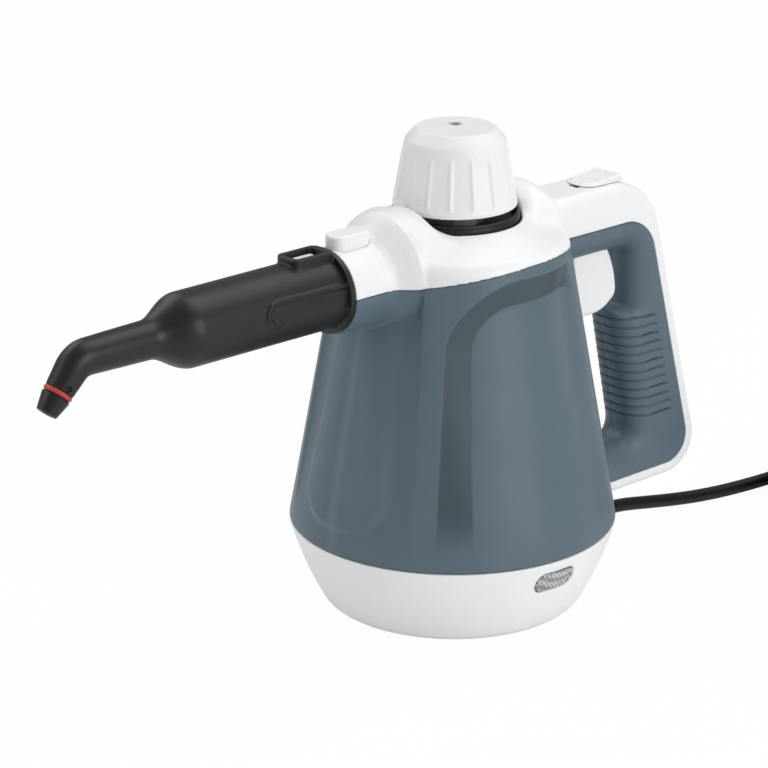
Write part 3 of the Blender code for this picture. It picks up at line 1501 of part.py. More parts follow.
def build_release_button():
    pad = button_pad("button_pad", 0, (LATCH_Z + LATCH_SHOULDER_Z) / 2, BUTTON_TOP_Z)
    half = BUTTON_LENGTH / 2 + BUTTON_LIP
    front = max(BUTTON_X - half, -COLLAR_REACH + RUNNING_GAP)
    width = LATCH_HALF_WIDTH
    join(
        pad,
        box("button_foot", (front, -width, LATCH_Z), (BUTTON_X + half, width, LATCH_SHOULDER_Z)),
        box(
            "latch_tongue",
            (-BUTTON_FRONT_X - LATCH_REACH, -width, LATCH_Z),
            (BUTTON_X, width, LATCH_Z + LATCH_THICKNESS),
        ),
    )
    part(pad, "release_button", "white_plastic", (BUTTON_X, 0, BUTTON_TOP_Z))

    floor = GROOVE_FLOOR_Z - BUTTON_SPRING_SINK + SEAT_GAP
    wire = BUTTON_SPRING_WIRE / 2
    spring = tube(
        "button_helix",
        [
            (BUTTON_X + x, y, z)
            for x, y, z in helix(
                BUTTON_SPRING_RADIUS, floor + wire, LATCH_Z - SEAT_GAP - wire, BUTTON_SPRING_TURNS
            )
        ],
        wire,
        1,
    )
    part(spring, "button_spring", "steel")


def bent_path(corner_x, start_x, after):
    """The nozzle tube's centre line from a place on the collar's axis, round the elbow."""
    reach = ELBOW_BEND * math.tan(ELBOW_ANGLE / 2)
    points = [(-start_x, 0, COLLAR_Z), (-corner_x + reach, 0, COLLAR_Z)]
    for k in range(1, ELBOW_STEPS + 1):
        turn = ELBOW_ANGLE * k / ELBOW_STEPS
        points.append((
            -corner_x + reach - ELBOW_BEND * math.sin(turn),
            0,
            COLLAR_Z - ELBOW_BEND * (1 - math.cos(turn)),
        ))
    for distance in after:
        points.append((
            -corner_x - distance * math.cos(ELBOW_ANGLE),
            0,
            COLLAR_Z - distance * math.sin(ELBOW_ANGLE),
        ))
    return points


def build_nozzle():
    flange_x = COLLAR_REACH
    flange_end = flange_x + FLANGE_LENGTH
    shoulder = SHOULDER_END_X - BARREL_END_X
    fall = BARREL_RADIUS - TUBE_RADIUS
    body = along_collar(turned("barrel", [
        (0, SHOULDER_END_X),
        *reversed([
            (TUBE_RADIUS + fall * outward, BARREL_END_X + shoulder * forward)
            for forward, outward in SHOULDER_SHARES
        ]),
        (BARREL_RADIUS, flange_end),
        (FLANGE_RADIUS, flange_end),
        (FLANGE_RADIUS, flange_x + SEAT_GAP),
        (0, flange_x + SEAT_GAP),
    ]))

    ring_half = RING_WIDTH / 2
    tip_end = RING_DISTANCE + TIP_LENGTH
    ring_start, ring_end = RING_DISTANCE - ring_half, RING_DISTANCE + ring_half
    after = [ring_start - OVERRUN, ring_start, ring_end, tip_end]
    path = bent_path(ELBOW_X, SHOULDER_END_X - shoulder / 4, after)
    radii = [TUBE_RADIUS] + [TUBE_ELBOW_RADIUS] * (ELBOW_STEPS + 1)
    radii += [TUBE_RING_RADIUS, TUBE_RING_RADIUS, TUBE_RING_RADIUS, TIP_END_RADIUS]
    join(body, tube("nozzle_tube", path, TUBE_RADIUS, NOZZLE_RESOLUTION, radii))

    frame_half = SLOT_HALF_WIDTH + SLOT_FRAME
    slot_start = flange_end + SLOT_FRAME
    frame = prism(
        "slot_frame",
        rounded([
            (-slot_start - SLOT_LENGTH - SLOT_FRAME, -frame_half, SLOT_FRAME * 2),
            (-flange_x - FLANGE_LENGTH / 2, -frame_half, 0),
            (-flange_x - FLANGE_LENGTH / 2, frame_half, 0),
            (-slot_start - SLOT_LENGTH - SLOT_FRAME, frame_half, SLOT_FRAME * 2),
        ]),
        (SLOT_FRAME_TOP_Z - COLLAR_Z) / 2,
        "Z",
        (SLOT_FRAME_TOP_Z + COLLAR_Z) / 2,
    )
    body = baked(join(body, frame))
    cut(body, prism(
        "slot",
        rounded([
            (-slot_start - SLOT_LENGTH, -SLOT_HALF_WIDTH, SLOT_FRAME),
            (-slot_start, -SLOT_HALF_WIDTH, SLOT_FRAME / 2),
            (-slot_start, SLOT_HALF_WIDTH, SLOT_FRAME / 2),
            (-slot_start - SLOT_LENGTH, SLOT_HALF_WIDTH, SLOT_FRAME),
        ]),
        COLLAR_RADIUS / 2,
        "Z",
        COLLAR_Z + COLLAR_RADIUS,
    ))
    cut(
        body,
        along_collar(turned("barrel_cavity", [
            (0, BARREL_CAVITY_X + DUCT_LENGTH),
            (DUCT_RADIUS, BARREL_CAVITY_X + DUCT_LENGTH),
            (DUCT_RADIUS, BARREL_CAVITY_X),
            (BARREL_BORE_RADIUS, BARREL_CAVITY_X),
            (BARREL_BORE_RADIUS, flange_x - OVERRUN),
            (0, flange_x - OVERRUN),
        ])),
        tube(
            "steam_way",
            bent_path(ELBOW_X, BARREL_CAVITY_X + DUCT_LENGTH - OVERRUN, [RING_DISTANCE, tip_end + OVERRUN]),
            STEAM_BORE_RADIUS,
        ),
    )
    ring_middle = Vector(bent_path(ELBOW_X, flange_x, [RING_DISTANCE])[-1])
    outward = Vector((-math.cos(ELBOW_ANGLE), 0, -math.sin(ELBOW_ANGLE)))
    groove = torus("ring_groove", TUBE_RING_RADIUS, RING_SECTION + SEAT_GAP, 0, INSIDE_TURN_STEPS)
    cut(body, aimed(groove, outward, ring_middle))
    part(body, "jet_nozzle", "black_plastic", (-flange_x, 0, COLLAR_Z))
    ring = torus("red_ring", TUBE_RING_RADIUS, RING_SECTION, 0, INSIDE_TURN_STEPS)
    part(aimed(ring, outward, ring_middle), "tip_seal", "red_silicone", (-flange_x, 0, COLLAR_Z))


def build_filler_collar():
    foot = NECK_RING_TOP_Z - NECK_RING_HEIGHT
    inner = NECK_RING_RADIUS - NECK_RING_WALL
    hole = NECK_RADIUS + SEAT_GAP
    ring = turned("neck_ring", [
        (NECK_RING_RADIUS, NECK_RING_TOP_Z),
        (NECK_RING_RADIUS, foot),
        (hole, foot),
        (hole, foot + NECK_RING_FLOOR),
        (inner, foot + NECK_RING_FLOOR),
        (inner, NECK_RING_TOP_Z),
    ])
    part(ring, "filler_collar", "black_plastic")


def fluted_ring(radius, z, depth):
    """A ring of points whose radius dips by a depth in every flute."""
    per_flute = len(CAP_FLUTE_SHARES)
    count = CAP_FLUTE_COUNT * per_flute
    ring = []
    for i in range(count):
        angle = 2 * math.pi * i / count
        reach = radius - depth * CAP_FLUTE_SHARES[i % per_flute]
        ring.append((reach * math.cos(angle), reach * math.sin(angle), z))
    return ring


def build_cap():
    wall_foot = CAP_RIM_Z + CAP_LIP_HEIGHT
    wall_rise = CAP_SHOULDER_Z - wall_foot
    rings = [
        fluted_ring(CAP_RIM_RADIUS, CAP_RIM_Z, 0),
        fluted_ring(CAP_RIM_RADIUS, wall_foot, 0),
    ]
    for upward, depth in CAP_FLUTE_RUN_SHARES:
        radius = CAP_WALL_FOOT_RADIUS + (CAP_SHOULDER_RADIUS - CAP_WALL_FOOT_RADIUS) * upward
        rings.append(fluted_ring(radius, wall_foot + wall_rise * upward, CAP_FLUTE_DEPTH * depth))
    for inward, upward in CAP_CROWN_SHARES:
        radius = CAP_SHOULDER_RADIUS + (CAP_TOP_RADIUS - CAP_SHOULDER_RADIUS) * inward
        rings.append(fluted_ring(radius, CAP_SHOULDER_Z + (CAP_TOP_Z - CAP_SHOULDER_Z) * upward, 0))
    shell = ring_loft("cap_outside", rings)
    ceiling = CAP_TOP_Z - CAP_WALL
    cut(shell, turned("cap_cavity", [
        (0, ceiling),
        (CAP_TOP_RADIUS, ceiling),
        (CAP_SHOULDER_RADIUS - CAP_WALL, CAP_SHOULDER_Z - CAP_WALL),
        (CAP_RIM_RADIUS - CAP_WALL - CAP_FLUTE_DEPTH, CAP_RIM_Z - OVERRUN),
        (0, CAP_RIM_Z - OVERRUN),
    ], INSIDE_TURN_STEPS))
    guide_bore = SPRING_GUIDE_RADIUS - SPRING_GUIDE_WALL
    join(shell, turned("spring_guide", [
        (SPRING_GUIDE_RADIUS, ceiling + CAP_WALL / 2),
        (SPRING_GUIDE_RADIUS, ceiling - SPRING_GUIDE_LENGTH),
        (guide_bore, ceiling - SPRING_GUIDE_LENGTH),
        (guide_bore, ceiling + CAP_WALL / 2),
    ], SMALL_TURN_STEPS * 2))
    cut(shell, rod("cap_vent", CAP_VENT_RADIUS, (0, 0, CAP_SHOULDER_Z), (0, 0, CAP_TOP_Z + OVERRUN)))
    part(shell, "cap_shell", "white_plastic", (0, 0, CAP_RIM_Z))

    relief_hole = RELIEF_RADIUS + SEAT_GAP
    insert = turned("cap_plug", [
        (INSERT_FLANGE_RADIUS, INSERT_TOP_Z),
        (INSERT_FLANGE_RADIUS, INSERT_FLANGE_Z),
        (INSERT_STEM_RADIUS, INSERT_FLANGE_Z),
        (INSERT_STEM_RADIUS, INSERT_FLANGE_Z - INSERT_STEM_LENGTH),
        (relief_hole, INSERT_FLANGE_Z - INSERT_STEM_LENGTH),
        (relief_hole, INSERT_TOP_Z),
    ], INSIDE_TURN_STEPS)
    part(insert, "cap_insert", "black_plastic", (0, 0, INSERT_FLANGE_Z))

    seal_foot = NECK_TOP_Z + SEAT_GAP
    seal_bore = INSERT_STEM_RADIUS + SEAT_GAP
    part(
        turned("seal_washer", [
            (NECK_RADIUS, seal_foot + SEAL_THICKNESS),
            (NECK_RADIUS, seal_foot),
            (seal_bore, seal_foot),
            (seal_bore, seal_foot + SEAL_THICKNESS),
        ], INSIDE_TURN_STEPS),
        "cap_seal",
        "red_silicone",
        (0, 0, seal_foot),
    )

    head_foot = INSERT_TOP_Z + SEAT_GAP
    valve = turned("relief_body", [
        (0, head_foot + RELIEF_HEAD_HEIGHT),
        (RELIEF_HEAD_RADIUS, head_foot + RELIEF_HEAD_HEIGHT),
        (RELIEF_HEAD_RADIUS, head_foot),
        (RELIEF_RADIUS, head_foot),
        (RELIEF_RADIUS, INSERT_FLANGE_Z - INSERT_STEM_LENGTH),
        (0, INSERT_FLANGE_Z - INSERT_STEM_LENGTH),
    ], SMALL_TURN_STEPS)
    part(valve, "relief_valve", "brass", (0, 0, INSERT_FLANGE_Z))

    wire = CAP_SPRING_WIRE / 2
    spring = helix(CAP_SPRING_RADIUS, head_foot + wire, ceiling - SEAT_GAP - wire, CAP_SPRING_TURNS)
    part(tube("cap_helix", spring, wire, 1), "cap_spring", "steel", (0, 0, head_foot))


def trigger_corners():
    return [
        (TRIGGER_FRONT_FOOT_X, TRIGGER_FOOT_Z, TRIGGER_EDGE * 2),
        (TRIGGER_HEEL_X, TRIGGER_FOOT_Z, TRIGGER_EDGE * 2),
        (TRIGGER_REAR_X, TRIGGER_REAR_Z, TRIGGER_EDGE * 2),
        (TRIGGER_REAR_X, TRIGGER_BACK_Z, TRIGGER_EDGE * 3),
        (TRIGGER_SHOULDER_X, TRIGGER_SHOULDER_Z, TRIGGER_EDGE * 3),
        (PIVOT_X + PIVOT_HUB_RADIUS * 2, WINDOW_TOP_Z, TRIGGER_EDGE),
        (PIVOT_X + PIVOT_HUB_RADIUS, TRIGGER_TOP_Z, TRIGGER_EDGE),
        (TRIGGER_FRONT_TOP_X, TRIGGER_TOP_Z, TRIGGER_EDGE * 2),
        (TRIGGER_FRONT_TOP_X, (TRIGGER_TOP_Z + TRIGGER_FOOT_Z) / 2, TRIGGER_EDGE * 3),
    ]


def build_trigger():
    width = TRIGGER_HALF_WIDTH
    pocket_floor = width - TRIGGER_SPRING_DEPTH
    body = soft_prism("trigger_body", trigger_corners(), width, TRIGGER_EDGE, 1)
    join(
        body,
        rod(
            "trigger_hub",
            PIVOT_HUB_RADIUS,
            (PIVOT_X, TRIGGER_EDGE - width, PIVOT_Z),
            (PIVOT_X, pocket_floor, PIVOT_Z),
        ),
        box(
            "push_arm",
            (PIVOT_X - TRIGGER_ARM_HALF, -TRIGGER_ARM_HALF, PIVOT_Z),
            (PIVOT_X + TRIGGER_ARM_HALF, pocket_floor - SEAT_GAP, PIVOT_Z + TRIGGER_ARM_HEIGHT),
        ),
    )
    cut(
        body,
        rod(
            "hub_pocket",
            TRIGGER_SPRING_POCKET,
            (PIVOT_X, pocket_floor, PIVOT_Z),
            (PIVOT_X, width + OVERRUN, PIVOT_Z),
        ),
        rod(
            "hub_hole",
            PIVOT_PIN_RADIUS + SEAT_GAP,
            (PIVOT_X, -width - OVERRUN, PIVOT_Z),
            (PIVOT_X, width + OVERRUN, PIVOT_Z),
        ),
    )
    part(body, "trigger", "white_plastic", (PIVOT_X, 0, PIVOT_Z))
    part(rod("pin_rod", PIVOT_PIN_RADIUS, pin_end(-1), pin_end(1)), "trigger_pin", "steel")

    wire = TRIGGER_SPRING_WIRE / 2
    spring = [
        (PIVOT_X + x, y, PIVOT_Z + z)
        for x, z, y in helix(
            TRIGGER_SPRING_RADIUS,
            pocket_floor + SEAT_GAP + wire,
            width + RUNNING_GAP - SEAT_GAP - wire,
            TRIGGER_SPRING_TURNS,
        )
    ]
    part(tube("trigger_helix", spring, wire, 1), "trigger_spring", "steel")


def build_lock():
    foot = BAR_TOP_Z + SEAT_GAP
    front, rear = LOCK_FRONT_X, LOCK_FRONT_X + LOCK_LENGTH
    width = LOCK_HALF_WIDTH
    slider = prism(
        "lock_wedge",
        [
            (front, foot),
            (rear, foot),
            (rear, BAR_TOP_Z + LOCK_REAR_HEIGHT),
            (front, BAR_TOP_Z + LOCK_FRONT_HEIGHT),
        ],
        width,
    )
    keep(slider, prism(
        "lock_plan",
        rounded([
            (front, -width, width),
            (rear, -width, LOCK_REAR_HEIGHT / 2),
            (rear, width, LOCK_REAR_HEIGHT / 2),
            (front, width, width),
        ]),
        LOCK_LENGTH,
        "Z",
        BAR_TOP_Z,
    ))
    slope = (LOCK_REAR_HEIGHT - LOCK_FRONT_HEIGHT) / LOCK_LENGTH
    first, last = front + width, rear - LOCK_RIB_WIDTH * 2
    for i in range(LOCK_RIB_COUNT):
        x = first + (last - first) * i / (LOCK_RIB_COUNT - 1)
        top = BAR_TOP_Z + LOCK_FRONT_HEIGHT + slope * (x - front)
        cut(slider, box(
            "rib_groove",
            (x - LOCK_RIB_WIDTH / 2, -width + LOCK_RIB_WIDTH, top - LOCK_RIB_DEPTH),
            (x + LOCK_RIB_WIDTH / 2, width - LOCK_RIB_WIDTH, BAR_TOP_Z + LOCK_LENGTH),
        ))
    stem_x = LOCK_FRONT_X + LOCK_LENGTH / 2 - LOCK_STEM_LENGTH / 2
    keeper_top = BAR_TOP_Z - HANDLE_WALL - SEAT_GAP
    join(
        slider,
        box(
            "lock_stem",
            (stem_x, -LOCK_STEM_HALF, keeper_top - LOCK_KEEPER_THICKNESS / 2),
            (stem_x + LOCK_STEM_LENGTH, LOCK_STEM_HALF, foot + LOCK_RIB_DEPTH / 2),
        ),
        box(
            "lock_keeper",
            (stem_x, -LOCK_KEEPER_HALF, keeper_top - LOCK_KEEPER_THICKNESS),
            (stem_x + LOCK_STEM_LENGTH, LOCK_KEEPER_HALF, keeper_top),
        ),
    )
    part(slider, "lock_switch", "white_plastic", (front, 0, BAR_TOP_Z))


def coil_points():
    """The wound cord's centre line, from the outer end of its lowest layer to its highest."""
    turns = COIL_LAYERS * COIL_TURNS_PER_LAYER
    count = turns * COIL_POINTS_PER_TURN
    low = CORD_RADIUS + COIL_LIFT
    points = []
    for i in range(count + 1):
        t = i / COIL_POINTS_PER_TURN
        along = t % (2 * COIL_TURNS_PER_LAYER)
        radius = COIL_INNER_RADIUS + COIL_PITCH * abs(along - COIL_TURNS_PER_LAYER)
        layer = 0
        for k in range(1, COIL_LAYERS):
            climb = 2 * (t - k * COIL_TURNS_PER_LAYER) + 1 / 2
            layer += min(max(climb, 0), 1)
        angle = 2 * math.pi * t
        points.append((
            COIL_CENTRE[0] + radius * math.sin(angle),
            COIL_CENTRE[1] + radius * math.cos(angle),
            low + COIL_PITCH * layer,
        ))
    lead = 2 * CORD_RADIUS
    x, y, z = points[0]
    points.insert(1, (x + lead, y, z))
    x, y, z = points[-1]
    points.insert(-1, (x - lead, y, z))
    return points


def behind_boot(points):
    """Points of the cord, moved along with the end of the boot."""
    return [(x + CORD_SHIFT, y, z) for x, y, z in points]


def build_cord():
    neck, flange = BOOT_NECK_RADIUS, BOOT_FLANGE_RADIUS
    flange_end = BOOT_FLANGE_X + BOOT_FLANGE_LENGTH
    boot = turned("boot_body", [
        (0, BOOT_TAPER_X + BOOT_TAPER_LENGTH),
        (BOOT_END_RADIUS, BOOT_TAPER_X + BOOT_TAPER_LENGTH),
        (BOOT_ROOT_RADIUS, BOOT_TAPER_X),
        (neck, BOOT_TAPER_X),
        (neck, flange_end),
        (flange, flange_end),
        (flange, BOOT_FLANGE_X),
        (0, BOOT_FLANGE_X),
    ], SMALL_TURN_STEPS)
    aimed(boot, (1, 0, 0), (0, 0, ENTRY_Z))
    for i in range(BOOT_GROOVE_COUNT):
        x = BOOT_TAPER_X + BOOT_TAPER_LENGTH * (i + 1) / (BOOT_GROOVE_COUNT + 1)
        side = -1 if i % 2 else 1
        cut(boot, box(
            "boot_groove",
            (x, min(side * CORD_RADIUS, side * flange), 0),
            (x + BOOT_GROOVE_WIDTH, max(side * CORD_RADIUS, side * flange), 2 * ENTRY_Z),
        ))
    part(boot, "strain_relief", "black_rubber")

    spacing = 5 * CORD_RADIUS
    free = smooth_route(behind_boot(CORD_ROUTE), spacing)
    part(tube("cord_free", free, CORD_RADIUS, 3), "mains_cord", "black_rubber")
    part(tube("cord_wound", behind_boot(coil_points()), CORD_RADIUS, 1), "cord_coil", "black_rubber")
    tail = behind_boot(CORD_TAIL)
    part(tube("cord_end", smooth_route(tail, spacing), CORD_RADIUS, 3), "cord_tail", "black_rubber")

    innermost = COIL_INNER_RADIUS + COIL_PITCH / 2
    outermost = innermost + COIL_PITCH * (COIL_TURNS_PER_LAYER - 1)
    low_y = COIL_CENTRE[1] - outermost - CORD_RADIUS - TIE_CLEARANCE / 2
    high_y = COIL_CENTRE[1] - innermost + CORD_RADIUS + TIE_CLEARANCE
    low_z = COIL_LIFT - SEAT_GAP
    high_z = COIL_LIFT + 2 * CORD_RADIUS + COIL_PITCH * (COIL_LAYERS - 1) + SEAT_GAP
    corners = [(low_y, low_z, TIE_THICKNESS), (high_y, low_z, TIE_THICKNESS)]
    corners += [(high_y, high_z, TIE_THICKNESS), (low_y, high_z, TIE_THICKNESS)]
    coil_x = COIL_CENTRE[0] + CORD_SHIFT
    band = prism("tie_band", rounded(inset(corners, -TIE_THICKNESS)), TIE_WIDTH / 2, "X", coil_x)
    cut(band, prism("tie_hole", rounded(corners), TIE_WIDTH, "X", coil_x))
    part(band, "cord_tie", "black_rubber")

    end = Vector(tail[-1])
    direction = (end - Vector(tail[-2])).normalized()
    direction.z = 0
    direction.normalize()
    start = end + direction * SEAT_GAP
    plug = turned("plug_shape", [
        (0, PLUG_NECK_LENGTH + PLUG_BODY_LENGTH),
        (PLUG_BODY_RADIUS, PLUG_NECK_LENGTH + PLUG_BODY_LENGTH),
        (PLUG_BODY_RADIUS, PLUG_NECK_LENGTH + PLUG_BODY_LENGTH / 2),
        (PLUG_NECK_RADIUS * 2, PLUG_NECK_LENGTH),
        (PLUG_NECK_RADIUS, PLUG_NECK_LENGTH * 3 / 4),
        (BOOT_END_RADIUS, 0),
        (0, 0),
    ], SMALL_TURN_STEPS)
    aimed(plug, direction, start)
    across = Vector((direction.y, -direction.x, 0))
    for i, side in enumerate((-1, 1), 1):
        root = start + direction * (PLUG_NECK_LENGTH + PLUG_BODY_LENGTH - PLUG_PIN_SOCKET)
        root += across * side * PLUG_PIN_SPACING / 2
        tip = root + direction * (PLUG_PIN_SOCKET + PLUG_PIN_LENGTH)
        cut(plug, rod("pin_socket", PLUG_PIN_RADIUS + SEAT_GAP, root - direction * SEAT_GAP, tip))
        part(rod("pin_rod", PLUG_PIN_RADIUS, root, tip), f"plug_pin_{i}", "brass")
    part(plug, "plug_body", "black_rubber")


def main():
    build_shells()
    build_top_cover()
    build_spine()
    build_base()
    build_lens_and_lamp()
    build_boiler()
    build_heater()
    build_steam_line()
    build_spigot()
    build_release_button()
    build_nozzle()
    build_filler_collar()
    build_cap()
    build_trigger()
    build_lock()
    build_cord()


clear_scene()
PARTS = new_collection("handheld_steam_cleaner")
CUTTERS = new_collection("cutters")
AXIS = bpy.data.objects.new("tank_axis", None)
PARTS.objects.link(AXIS)
FINISHES = {
    "blue_plastic": finish_material("blue_plastic", BLUE_PLASTIC),
    "white_plastic": finish_material("white_plastic", WHITE_PLASTIC),
    "black_plastic": finish_material("black_plastic", BLACK_PLASTIC),
    "black_rubber": finish_material("black_rubber", BLACK_RUBBER),
    "red_silicone": finish_material("red_silicone", RED_SILICONE),
    "clear_plastic": finish_material("clear_plastic", CLEAR_PLASTIC),
    "aluminium": finish_material("aluminium", ALUMINIUM),
    "steel": finish_material("steel", STEEL),
    "brass": finish_material("brass", BRASS),
    "ceramic": finish_material("ceramic", CERAMIC),
}
main()
nozzle_end = Vector(bent_path(ELBOW_X, COLLAR_REACH, [RING_DISTANCE + TIP_LENGTH])[-1])
front_x = nozzle_end.x - TIP_END_RADIUS * math.sin(ELBOW_ANGLE)
rear_x = max(x for x, _ in rounded(handle_corners()))
AXIS.location.x = -(front_x + rear_x) / 2
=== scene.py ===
"""Looks of a handheld steam cleaner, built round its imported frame.

Shapes are worked out in millimetres from the tank's axis.
"""

import math

import bpy
import numpy as np
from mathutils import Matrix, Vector


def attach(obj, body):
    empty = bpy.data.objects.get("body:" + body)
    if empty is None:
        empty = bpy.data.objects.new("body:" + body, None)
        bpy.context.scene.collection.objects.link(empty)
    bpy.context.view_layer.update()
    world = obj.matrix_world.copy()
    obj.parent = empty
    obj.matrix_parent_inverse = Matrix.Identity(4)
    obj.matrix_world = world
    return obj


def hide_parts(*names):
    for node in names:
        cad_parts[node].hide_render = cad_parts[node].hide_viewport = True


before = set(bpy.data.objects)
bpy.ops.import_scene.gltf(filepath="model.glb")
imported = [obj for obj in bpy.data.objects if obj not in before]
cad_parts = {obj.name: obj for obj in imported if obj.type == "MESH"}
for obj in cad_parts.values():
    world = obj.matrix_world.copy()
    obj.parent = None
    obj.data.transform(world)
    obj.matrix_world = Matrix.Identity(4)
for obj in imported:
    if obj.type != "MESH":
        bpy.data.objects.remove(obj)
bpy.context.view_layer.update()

MM = 0.001
TANK_X = 40.65
GAP = 0.15
VENT = (3.2, 3.5)
SEAM_GAP = 0.05


def placed(point):
    """A point in millimetres from the tank's axis, in the row frame in metres."""
    return ((point[0] + TANK_X) * MM, point[1] * MM, point[2] * MM)


# Camera
EYE = (-890.5, -937.4, 568.8)
AIM = (-42.3, 0.0, 112.7)
camera_data = bpy.data.cameras.new("camera")
camera_data.sensor_width = 36
camera_data.lens = 142.37
camera_data.clip_start = 0.05
camera_data.clip_end = 50
camera = bpy.data.objects.new("camera", camera_data)
bpy.context.scene.collection.objects.link(camera)
camera.location = placed(EYE)
camera.rotation_mode = "QUATERNION"
camera.rotation_quaternion = (Vector(placed(AIM)) - Vector(placed(EYE))).to_track_quat("-Z", "Y")
bpy.context.scene.camera = camera


# Materials
def new_material(name):
    made = bpy.data.materials.new(name)
    made.use_nodes = True
    tree = made.node_tree
    return made, tree, tree.nodes["Principled BSDF"]


def add_node(tree, kind, **settings):
    node = tree.nodes.new(kind)
    for key, value in settings.items():
        setattr(node, key, value)
    return node


def ramp_between(tree, source, low, high, span=(0.3, 0.7)):
    """A colour ramp from one value to another, driven by a source."""
    ramp = add_node(tree, "ShaderNodeValToRGB")
    first, last = ramp.color_ramp.elements
    first.position, last.position = span
    first.color = (*low, 1) if hasattr(low, "__len__") else (low, low, low, 1)
    last.color = (*high, 1) if hasattr(high, "__len__") else (high, high, high, 1)
    tree.links.new(source, ramp.inputs["Fac"])
    return ramp.outputs["Color"]


def worked(tree, operation, *values):
    """A maths node over sockets and numbers."""
    node = add_node(tree, "ShaderNodeMath", operation=operation)
    for socket, value in zip(node.inputs, values):
        if isinstance(value, (int, float)):
            socket.default_value = value
        else:
            tree.links.new(value, socket)
    return node.outputs["Value"]


def rounded_max(tree, a, b, radius):
    """The larger of two distances, with the corner between them turned on a radius."""
    over_a = worked(tree, "MAXIMUM", worked(tree, "ADD", a, radius), 0.0)
    over_b = worked(tree, "MAXIMUM", worked(tree, "ADD", b, radius), 0.0)
    squares = worked(tree, "ADD", worked(tree, "POWER", over_a, 2.0), worked(tree, "POWER", over_b, 2.0))
    flat = worked(tree, "MINIMUM", worked(tree, "MAXIMUM", a, b), -radius)
    return worked(tree, "ADD", flat, worked(tree, "SQRT", squares))


def multiplied(tree, tint, factor):
    """One colour times another."""
    mixed = add_node(tree, "ShaderNodeMix", data_type="RGBA", blend_type="MULTIPLY")
    mixed.inputs["Factor"].default_value = 1.0
    tree.links.new(tint, mixed.inputs["A"])
    tree.links.new(factor, mixed.inputs["B"])
    return mixed.outputs["Result"]


def stepped(tree, source, first, last):
    """A soft step from 0 to 1 between two places, given in millimetres."""
    node = add_node(tree, "ShaderNodeMapRange", interpolation_type="SMOOTHSTEP")
    node.inputs["From Min"].default_value = first * MM
    node.inputs["From Max"].default_value = last * MM
    tree.links.new(source, node.inputs["Value"])
    return node.outputs["Result"]


def noise(tree, place, scale, detail):
    """A noise texture's value at each place."""
    made = add_node(tree, "ShaderNodeTexNoise")
    made.inputs["Scale"].default_value = scale
    made.inputs["Detail"].default_value = detail
    tree.links.new(place, made.inputs["Vector"])
    return made.outputs["Fac"]


def give_relief(tree, shader, height, strength, distance, **settings):
    bump = add_node(tree, "ShaderNodeBump", **settings)
    bump.inputs["Strength"].default_value = strength
    bump.inputs["Distance"].default_value = distance
    tree.links.new(height, bump.inputs["Height"])
    tree.links.new(bump.outputs["Normal"], shader.inputs["Normal"])


def arch_shade_band(tree, place):
    """How much of a spot lies on the sloping band round the housing's arches, from 0 to 1: the mask for the painted
    shade on that band.
    """
    split = add_node(tree, "ShaderNodeSeparateXYZ")
    tree.links.new(place, split.inputs["Vector"])
    x, z = split.outputs["X"], split.outputs["Z"]
    aside = worked(tree, "ABSOLUTE", worked(tree, "SUBTRACT", x, (TANK_X + 5.6) * MM))
    lean = worked(tree, "MULTIPLY", worked(tree, "SUBTRACT", z, 56.0 * MM), 0.1506)
    side = worked(tree, "ADD", worked(tree, "MULTIPLY", worked(tree, "SUBTRACT", aside, 60.4 * MM), 0.9886), lean)
    away = rounded_max(tree, side, worked(tree, "SUBTRACT", z, 166.3 * MM), 30.0 * MM)
    outer, inner, side_end, low = (
        stepped(tree, source, first, last)
        for source, first, last in (
            (away, 0.1, -0.9),
            (away, -12.9, -11.7),
            (x, TANK_X + 38.0, TANK_X + 20.0),
            (z, 46.0, 70.0),
        )
    )
    band = worked(tree, "MULTIPLY", outer, inner)
    band = worked(tree, "MULTIPLY", band, side_end)
    return worked(tree, "MULTIPLY", band, low)


